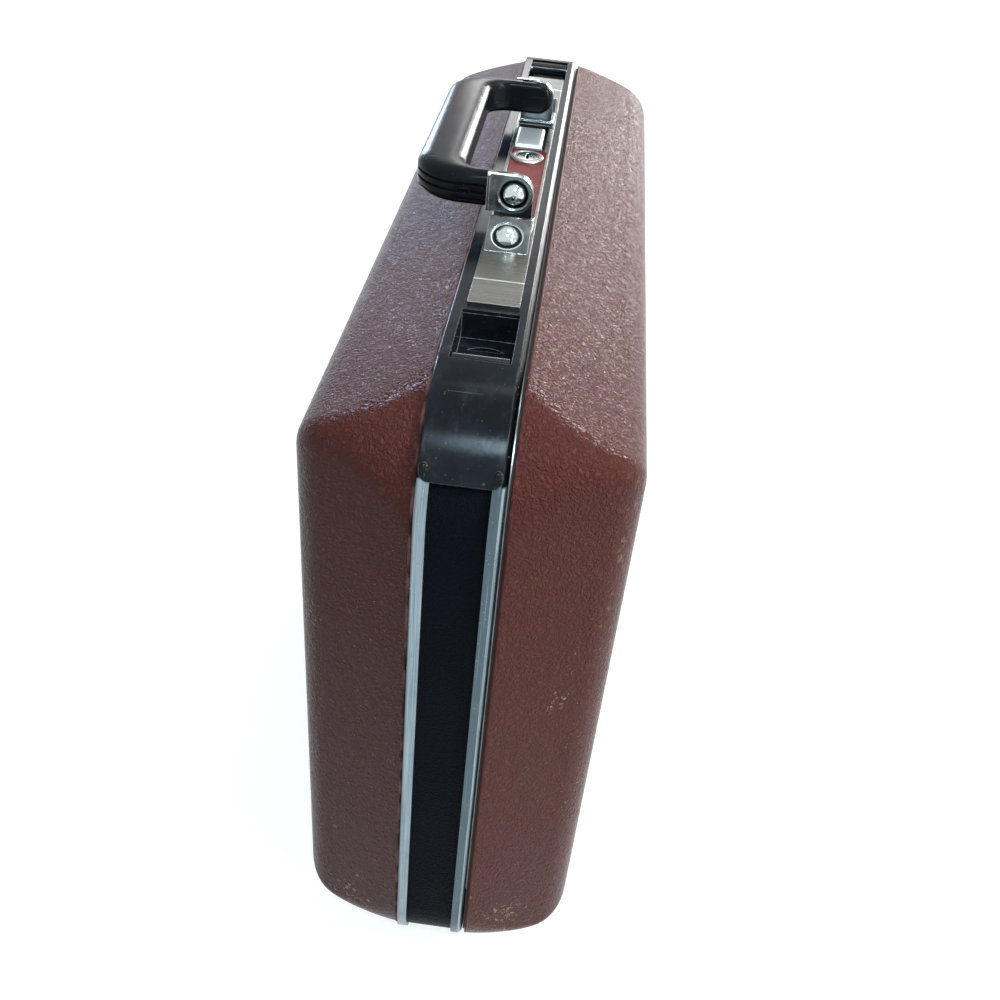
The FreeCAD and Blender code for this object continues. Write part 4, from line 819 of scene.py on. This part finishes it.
def tray_rings(side, start, edge_inset, swell):
    """Inner face of a shell's liner: drafted walls, rolled bend and a floor panel that swells a little."""
    depth = SHELL_DEPTH
    bend = depth - FACE_ROUND * (1 - math.sin(DRAFT))
    bend_inset = edge_inset + (bend - start) * math.tan(DRAFT)
    stations = []
    for step in range(7):
        t = step / 6.0
        x = start + (bend - start) * t
        corner = OUTER_CORNER + (FRAME_CORNER - edge_inset - OUTER_CORNER) * (1 - t) ** 1.4
        stations.append((x, edge_inset + (x - start) * math.tan(DRAFT), DRAFT, corner))
    for step in range(1, 9):
        angle = DRAFT + (math.pi / 2 - DRAFT) * step / 8.0
        growth = FACE_ROUND * (math.cos(DRAFT) - math.cos(angle))
        x = bend + FACE_ROUND * (math.sin(angle) - math.sin(DRAFT))
        stations.append((x, bend_inset + growth, angle, OUTER_CORNER - 0.4 * growth))
    rings = []
    for x, inset, slope, corner in stations:
        drawn_in = inset + LINER_SKIN * math.cos(slope)
        radius = max(corner - LINER_SKIN, LEAST_CORNER)
        rings.append(outline_ring(side * (x - LINER_SKIN * math.sin(slope)), drawn_in, radius))
    middle = Vector((0.0, 0.0, (FRAME_TOP + FRAME_BOTTOM) / 2))
    floor = rings[-1]
    for share in (0.985, 0.965, 0.93, 0.86, 0.72, 0.5, 0.25, 0.05):
        lift = swell * min(1.0, (1.0 - share) / 0.14) ** 0.6
        ring = []
        for point in floor:
            spread = Vector((0.0, point.y, point.z)) - middle
            ring.append(Vector((point.x - side * lift, 0.0, 0.0)) + middle + spread * share)
        rings.append(ring)
    return rings


def stitch_row(name, points, pitch, length, radius, lift, made):
    """Short thread stitches laid end to end along a line of points, raised off it by lift."""
    work = bmesh.new()
    travelled = 0.0
    due = pitch / 2
    for first, second in zip(points, points[1:]):
        span = (second - first).length
        along = (second - first).normalized()
        side = along.cross(lift).normalized() * radius
        up = lift.normalized() * radius
        while due <= travelled + span:
            centre = first + along * (due - travelled) + lift
            ends = [work.verts.new(centre + along * (sign * length / 2) - up * 0.8) for sign in (-1, 1)]
            girdle = [work.verts.new(centre + offset) for offset in (side, up, -side, -up)]
            for index in range(4):
                pair = (girdle[index], girdle[(index + 1) % 4])
                work.faces.new((ends[1],) + pair)
                work.faces.new((ends[0],) + pair[::-1])
            due += pitch
        travelled += span
    mesh = bpy.data.meshes.new(name)
    work.to_mesh(mesh)
    work.free()
    smooth(mesh)
    return new_object(name, mesh, made)


class CASE_OT_shells(bpy.types.Operator):
    """Cover both shells with grained vinyl and lay a thin welt round their open edges"""
    bl_idname = "case.shells"
    bl_label = "Vinyl Shells"
    bl_options = {"REGISTER", "UNDO"}

    def execute(self, context):
        vinyl = settings(context)[0]
        skin = vinyl_material(vinyl)
        dress(skin, "base_shell", "lid_shell")
        welt = welt_material(vinyl)
        edge_welt("base_welt", -0.0162, 0.0017, 0.0007, "base", welt)
        edge_welt("lid_welt", 0.0174, 0.0010, 0.0006, "lid", welt)
        return {"FINISHED"}


class CASE_OT_frame(bpy.types.Operator):
    """Finish the frame's rails, the band between them and the seal"""
    bl_idname = "case.frame"
    bl_label = "Frame and Band"
    bl_options = {"REGISTER", "UNDO"}

    def execute(self, context):
        vinyl, metal, trim, inside, stage = settings(context)
        dress(rail_material(metal), "base_frame")
        dress(band_material(trim), "valance_band")
        dress(rubber_material(), "lid_seal", "feet")
        return {"FINISHED"}


class CASE_OT_trim(bpy.types.Operator):
    """Finish the black top trim, its pins and the finger wells"""
    bl_idname = "case.trim"
    bl_label = "Top Trim and Wells"
    bl_options = {"REGISTER", "UNDO"}

    def execute(self, context):
        trim = settings(context)[2]
        dress(trim_material(trim), "top_trim", "cap_pins")
        dress(trim_material(trim, "Well Black", 1.0), *both("latch_housing"), *both("latch_lever"))
        return {"FINISHED"}


class CASE_OT_hardware(bpy.types.Operator):
    """Finish the hardware plate, its cover plates, the red panel, the lock and the slide"""
    bl_idname = "case.hardware"
    bl_label = "Plate and Lock"
    bl_options = {"REGISTER", "UNDO"}

    def execute(self, context):
        vinyl, metal, trim, inside, stage = settings(context)
        chrome = chrome_material(metal)
        dress(plate_material(metal), "hardware_plate", *both("cover_plate"))
        dress(red_material(trim), "accent_inlay")
        dress(steel_material(metal), "lock_bezel")
        dress(chrome, "lock_plug", *both("bracket_rivet"), *both("handle_pin"),
              *both("handle_ferrule"))
        dress(satin_material(metal), "lock_slider")
        dress(dark_chrome_material(metal, "Dark Chrome", 0.62), *both("handle_bracket"))
        dress(dark_chrome_material(metal, "Smoked Chrome", 1.9), *both("handle_eye"))
        return {"FINISHED"}


class CASE_OT_handle(bpy.types.Operator):
    """Finish the folding handle's grip in gloss black"""
    bl_idname = "case.handle"
    bl_label = "Handle"
    bl_options = {"REGISTER", "UNDO"}

    def execute(self, context):
        trim = settings(context)[2]
        dress(gloss_black_material(trim), "handle_grip")
        return {"FINISHED"}


class CASE_OT_fittings(bpy.types.Operator):
    """Finish hinges, screws, stays, bolts, keepers, pins and the cover over the latch works"""
    bl_idname = "case.fittings"
    bl_label = "Inner Fittings"
    bl_options = {"REGISTER", "UNDO"}

    def execute(self, context):
        metal = settings(context)[1]
        steel = steel_material(metal)
        dress(steel, "hinge_leaves_base", "hinge_leaves_lid", "hinge_pins", "hinge_rivets_base", "hinge_rivets_lid",
              "bracket_screws", "foot_screws", "lock_cam", "lid_frame", *both("latch_pin"), *both("latch_spring"),
              *both("latch_bolt"), *both("latch_keeper"), *both("stay_arm"), *both("stay_stud_base"),
              *both("stay_stud_lid"))
        dress(moulded_material(), "mechanism_cover")
        return {"FINISHED"}


class CASE_OT_liners(bpy.types.Operator):
    """Line both shells and the frame with padded flock, with bound edges and sewn seams"""
    bl_idname = "case.liners"
    bl_label = "Linings"
    bl_options = {"REGISTER", "UNDO"}

    def execute(self, context):
        inside = settings(context)[3]
        flock = lining_material(inside)
        cord = pocket_material(inside, "Binding")
        thread = thread_material(inside)
        self.tray("base", -1, 0.0206, 0.0014, inside.swell, flock, cord, thread)
        self.tray("lid", 1, 0.0228, 0.0005, inside.swell, flock, cord, thread)
        self.frame_strip(flock)
        return {"FINISHED"}

    def tray(self, body, side, start, edge_inset, swell, flock, cord, thread):
        open_edge = abs(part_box(body + "_lining")[0 if side > 0 else 1][0])
        edge = edge_inset + (open_edge - start) * math.tan(DRAFT) if open_edge > start else edge_inset
        shell_edge = 0.0159 if side < 0 else 0.0170
        rings = tray_rings(side, shell_edge, edge_inset, swell)
        kept = [ring for ring in rings if abs(ring[0].x) > open_edge - 0.0002]
        if side > 0:
            kept = [list(reversed(ring)) for ring in kept]
        liner = new_object(body + "_liner", mesh_from_rings(body + "_liner", kept), flock)
        thicken(liner, 0.0009, -1.0)
        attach(liner, body)
        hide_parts(body + "_lining")
        rim = [point + Vector((side * 0.0006, 0.0, 0.0)) for point in kept[0]]
        self.finish(tube_along(body + "_liner_binding", rim, 0.0009, cord), body)
        floor = [ring for ring in kept if abs(ring[0].x) > SHELL_DEPTH - LINER_SKIN - 0.0004]
        seam = [point - Vector((side * 0.0002, 0.0, 0.0)) for point in floor[0]]
        self.finish(tube_along(body + "_liner_piping", seam, 0.0009, cord), body)
        row = [point * 1.0 for point in kept[1]]
        inward = Vector((-side * 0.00012, 0.0, 0.0))
        self.finish(stitch_row(body + "_liner_stitches", row + row[:1], 0.0042, 0.0029, 0.00028, inward, thread),
                    body)

    def finish(self, piece, body):
        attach(piece, body)

    def frame_strip(self, flock):
        """Fabric strip inside the frame, from one end wall round the bottom to the other."""
        low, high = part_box("frame_lining")
        ends = high[2]
        turn = [point for point in rounded_outline(0.0056, FRAME_CORNER - 0.0056, 8, 16)]
        first = next(index for index, point in enumerate(turn) if point.x < 0.0 and point.y < ends)
        turn = turn[first:] + turn[:first]
        path = [point for point in turn if point.y < ends]
        left, right = low[0] + 0.0003, high[0] - 0.0022
        across = [left, left + 0.0008, (left + right) / 2, right - 0.0008, right]
        rise = [0.0004, 0.0, 0.0, 0.0, 0.0004]
        middle = Vector((0.0, (FRAME_TOP + FRAME_BOTTOM) / 2))
        work = bmesh.new()
        rows = []
        for point in path:
            outward = (point - middle).normalized()
            rows.append([work.verts.new((x, point.x + outward.x * up, point.y + outward.y * up))
                         for x, up in zip(across, rise)])
        for one, other in zip(rows, rows[1:]):
            for index in range(len(across) - 1):
                work.faces.new((one[index], one[index + 1], other[index + 1], other[index]))
        mesh = bpy.data.meshes.new("frame_liner")
        work.to_mesh(mesh)
        work.free()
        smooth(mesh)
        strip = new_object("frame_liner", mesh, flock)
        thicken(strip, 0.0009, 0.0)
        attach(strip, "base")
        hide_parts("frame_lining")


class CASE_OT_pocket(bpy.types.Operator):
    """Sew the document pocket into the lid: a full front with a gathered mouth, bound and stitched"""
    bl_idname = "case.pocket"
    bl_label = "Document Pocket"
    bl_options = {"REGISTER", "UNDO"}

    def execute(self, context):
        inside = settings(context)[3]
        leather = pocket_material(inside, "Pocket Leatherette")
        low, high = (Vector(corner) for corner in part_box("document_pocket"))
        columns, lines = 120, 30
        work = bmesh.new()
        rows = []
        for line in range(lines + 1):
            v = line / lines
            rows.append([work.verts.new(self.place(low, high, column / columns, v))
                         for column in range(columns + 1)])
        for one, other in zip(rows, rows[1:]):
            for index in range(columns):
                work.faces.new((one[index], other[index], other[index + 1], one[index + 1]))
        mesh = bpy.data.meshes.new("pocket_front")
        work.to_mesh(mesh)
        work.free()
        smooth(mesh)
        front = new_object("pocket_front", mesh, leather)
        thicken(front, 0.0010, 0.0)
        self.keep(front)
        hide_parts("document_pocket")
        mouth = [self.place(low, high, column / columns, 1.0) for column in range(columns + 1)]
        self.keep(tube_along("pocket_mouth", mouth, 0.0013, leather, closed=False))
        edge = [self.place(low, high, 0.0, 1.0 - step / 20) for step in range(21)]
        edge += [self.place(low, high, step / 60, 0.0) for step in range(1, 61)]
        edge += [self.place(low, high, 1.0, step / 20) for step in range(1, 21)]
        edge = [point - Vector((0.0006, 0.0, 0.0)) for point in edge]
        self.keep(tube_along("pocket_binding", edge, 0.0012, leather, closed=False))
        line = [self.place(low, high, 0.035 + 0.93 * column / columns, 0.962) for column in range(columns + 1)]
        outward = Vector((-0.0007, 0.0, 0.0))
        self.keep(stitch_row("pocket_stitches", line, 0.0042, 0.0029, 0.00028, outward, thread_material(inside)))
        return {"FINISHED"}

    def keep(self, piece):
        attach(piece, "lid")

    def place(self, low, high, u, v):
        """Point of the pocket's front: u along the case, v from its bottom to its mouth."""
        margin = 0.0016
        y = low.y + margin + (high.y - low.y - 2 * margin) * u
        z = low.z + margin + (high.z - low.z - margin - 0.0014) * v
        side = 1.0 - abs(2.0 * u - 1.0) ** 14
        bottom = 1.0 - (1.0 - v) ** 12
        fullness = (0.006 + 0.0012 * (1.0 - v)) * side * bottom
        gather = 0.0006 * math.sin(u * 76.0) * math.sin(u * 23.0 + 1.0) * v ** 5 * side
        return Vector((high.x - 0.0012 - fullness + gather, y, z))


class CASE_OT_stage(bpy.types.Operator):
    """Set the floor, the room's light, seven soft lights and the camera"""
    bl_idname = "case.stage"
    bl_label = "Studio Stage"
    bl_options = {"REGISTER", "UNDO"}

    def execute(self, context):
        stage = settings(context)[4]
        self.floor(stage)
        self.room(context, stage)
        self.lamp("Key Softbox", (1.50, -0.55, 1.40), (0.40, 0.40), stage.key, (1.0, 0.975, 0.95))
        self.lamp("Top Softbox", (0.10, -1.20, 1.75), (0.42, 0.34), stage.top, (0.64, 0.85, 1.0))
        self.lamp("Window Softbox", (-0.15, 1.95, 0.96), (0.17, 0.40), stage.window, (1.0, 0.99, 0.98))
        self.lamp("Lid Softbox", (0.70, 1.83, 0.60), (0.50, 0.46), stage.lid_light, (1.0, 0.98, 0.97))
        self.lamp("Sky Softbox", (0.58, 0.42, 2.10), (1.15, 1.15), stage.sky, (0.90, 0.95, 1.0))
        self.lamp("Front Softbox", (1.35, -1.30, 0.62), (0.36, 0.36), stage.front, (1.0, 0.97, 0.93))
        self.lamp("Cool Softbox", (-0.86, 1.75, 0.68), (0.50, 0.40), stage.cool_light, (0.52, 0.68, 1.0))
        self.camera(context, stage)
        context.scene.view_settings.view_transform = "Standard"
        return {"FINISHED"}

    def floor(self, stage):
        mesh = bpy.data.meshes.new("floor")
        reach = 7.0
        corners = [(-reach, -reach, 0.0), (reach, -reach, 0.0), (reach, reach, 0.0), (-reach, reach, 0.0)]
        mesh.from_pydata(corners, [], [(0, 1, 2, 3)])
        made, net, shader = material("Pale Floor", 0.85, Specular_IOR_Level=0.1)
        shade = net.noise(net.place(), 3.0, 2.0)
        tone = net.mix(net.math("MULTIPLY", shade, 0.04), stage.floor, (0.31, 0.31, 0.31))
        net.put(shader.inputs["Base Color"], tone)
        rays = net.node("LightPath").outputs
        seen = net.math("MAXIMUM", rays["Is Camera Ray"], rays["Is Glossy Ray"])
        net.put(shader.inputs["Emission Color"], (1.0, 1.0, 1.0))
        away = net.ramp(net.vector("LENGTH", net.place()), 0.6, 2.6, stage.glow, stage.far_glow)
        net.put(shader.inputs["Emission Strength"], net.math("MULTIPLY", seen, away))
        new_object("floor", mesh, made)

    def room(self, context, stage):
        world = context.scene.world or bpy.data.worlds.new("Room")
        context.scene.world = world
        world.use_nodes = True
        world.node_tree.nodes.clear()
        net = Tree(world.node_tree)
        rays = net.node("LightPath").outputs
        seen = net.math("MAXIMUM", rays["Is Camera Ray"], rays["Is Transmission Ray"])
        seen = net.math("MAXIMUM", seen, rays["Is Glossy Ray"])
        strength = net.math("MULTIPLY_ADD", seen, 1.0 - stage.ambient, stage.ambient)
        sky = net.node("Background", {"Color": (1.0, 1.0, 1.0), "Strength": strength})
        out = net.node("OutputWorld")
        net.put(out.inputs["Surface"], sky.outputs["Background"])

    def lamp(self, name, place, size, radiance, tint):
        light = bpy.data.lights.new(name, "AREA")
        light.shape = "RECTANGLE"
        light.size, light.size_y = size
        light.energy = radiance * math.pi * size[0] * size[1]
        light.color = tint
        thing = bpy.data.objects.new(name, light)
        aim = Vector((0.0, 0.0, 0.25)) - Vector(place)
        thing.matrix_world = Matrix.Translation(place) @ aim.to_track_quat("-Z", "Y").to_matrix().to_4x4()
        bpy.context.scene.collection.objects.link(thing)

    def camera(self, context, stage):
        data = bpy.data.cameras.new("Camera")
        data.lens = stage.lens
        data.sensor_width = 36.0
        thing = bpy.data.objects.new("Camera", data)
        right = Vector((0.9914617, 0.1030488, 0.0799046))
        up = Vector((-0.1260725, 0.6009910, 0.7892500))
        back = Vector((0.0333093, -0.7925849, 0.6088512))
        turn = Matrix((right, up, back)).transposed().to_4x4()
        thing.matrix_world = Matrix.Translation((0.02534, -0.51260, 0.51483)) @ turn
        context.scene.collection.objects.link(thing)
        context.scene.camera = thing


class CASE_PT_panel(bpy.types.Panel):
    """Lists the steps that dress the briefcase"""
    bl_idname = "CASE_PT_panel"
    bl_label = "Briefcase"
    bl_space_type = "VIEW_3D"
    bl_region_type = "UI"
    bl_category = "Briefcase"

    def draw(self, context):
        for step in STEPS:
            self.layout.operator(step.bl_idname)
        for group in settings(context):
            column = self.layout.column(align=True)
            for name in group.__annotations__:
                column.prop(group, name)


GROUPS = {"case_vinyl": CaseVinyl, "case_metal": CaseMetal, "case_trim": CaseTrim, "case_inside": CaseInside,
          "case_stage": CaseStage}
STEPS = (CASE_OT_shells, CASE_OT_frame, CASE_OT_trim, CASE_OT_hardware, CASE_OT_handle, CASE_OT_fittings,
         CASE_OT_liners, CASE_OT_pocket, CASE_OT_stage)


def register():
    for name, group in GROUPS.items():
        bpy.utils.register_class(group)
        setattr(bpy.types.Scene, name, PointerProperty(type=group))
    for step in STEPS:
        bpy.utils.register_class(step)
    bpy.utils.register_class(CASE_PT_panel)


def unregister():
    bpy.utils.unregister_class(CASE_PT_panel)
    for step in reversed(STEPS):
        bpy.utils.unregister_class(step)
    for name, group in GROUPS.items():
        delattr(bpy.types.Scene, name)
        bpy.utils.unregister_class(group)


def main():
    register()
    build_shader_groups()
    for step in STEPS:
        family, name = step.bl_idname.split(".")
        getattr(getattr(bpy.ops, family), name)()


if __name__ == "__main__":
    main()
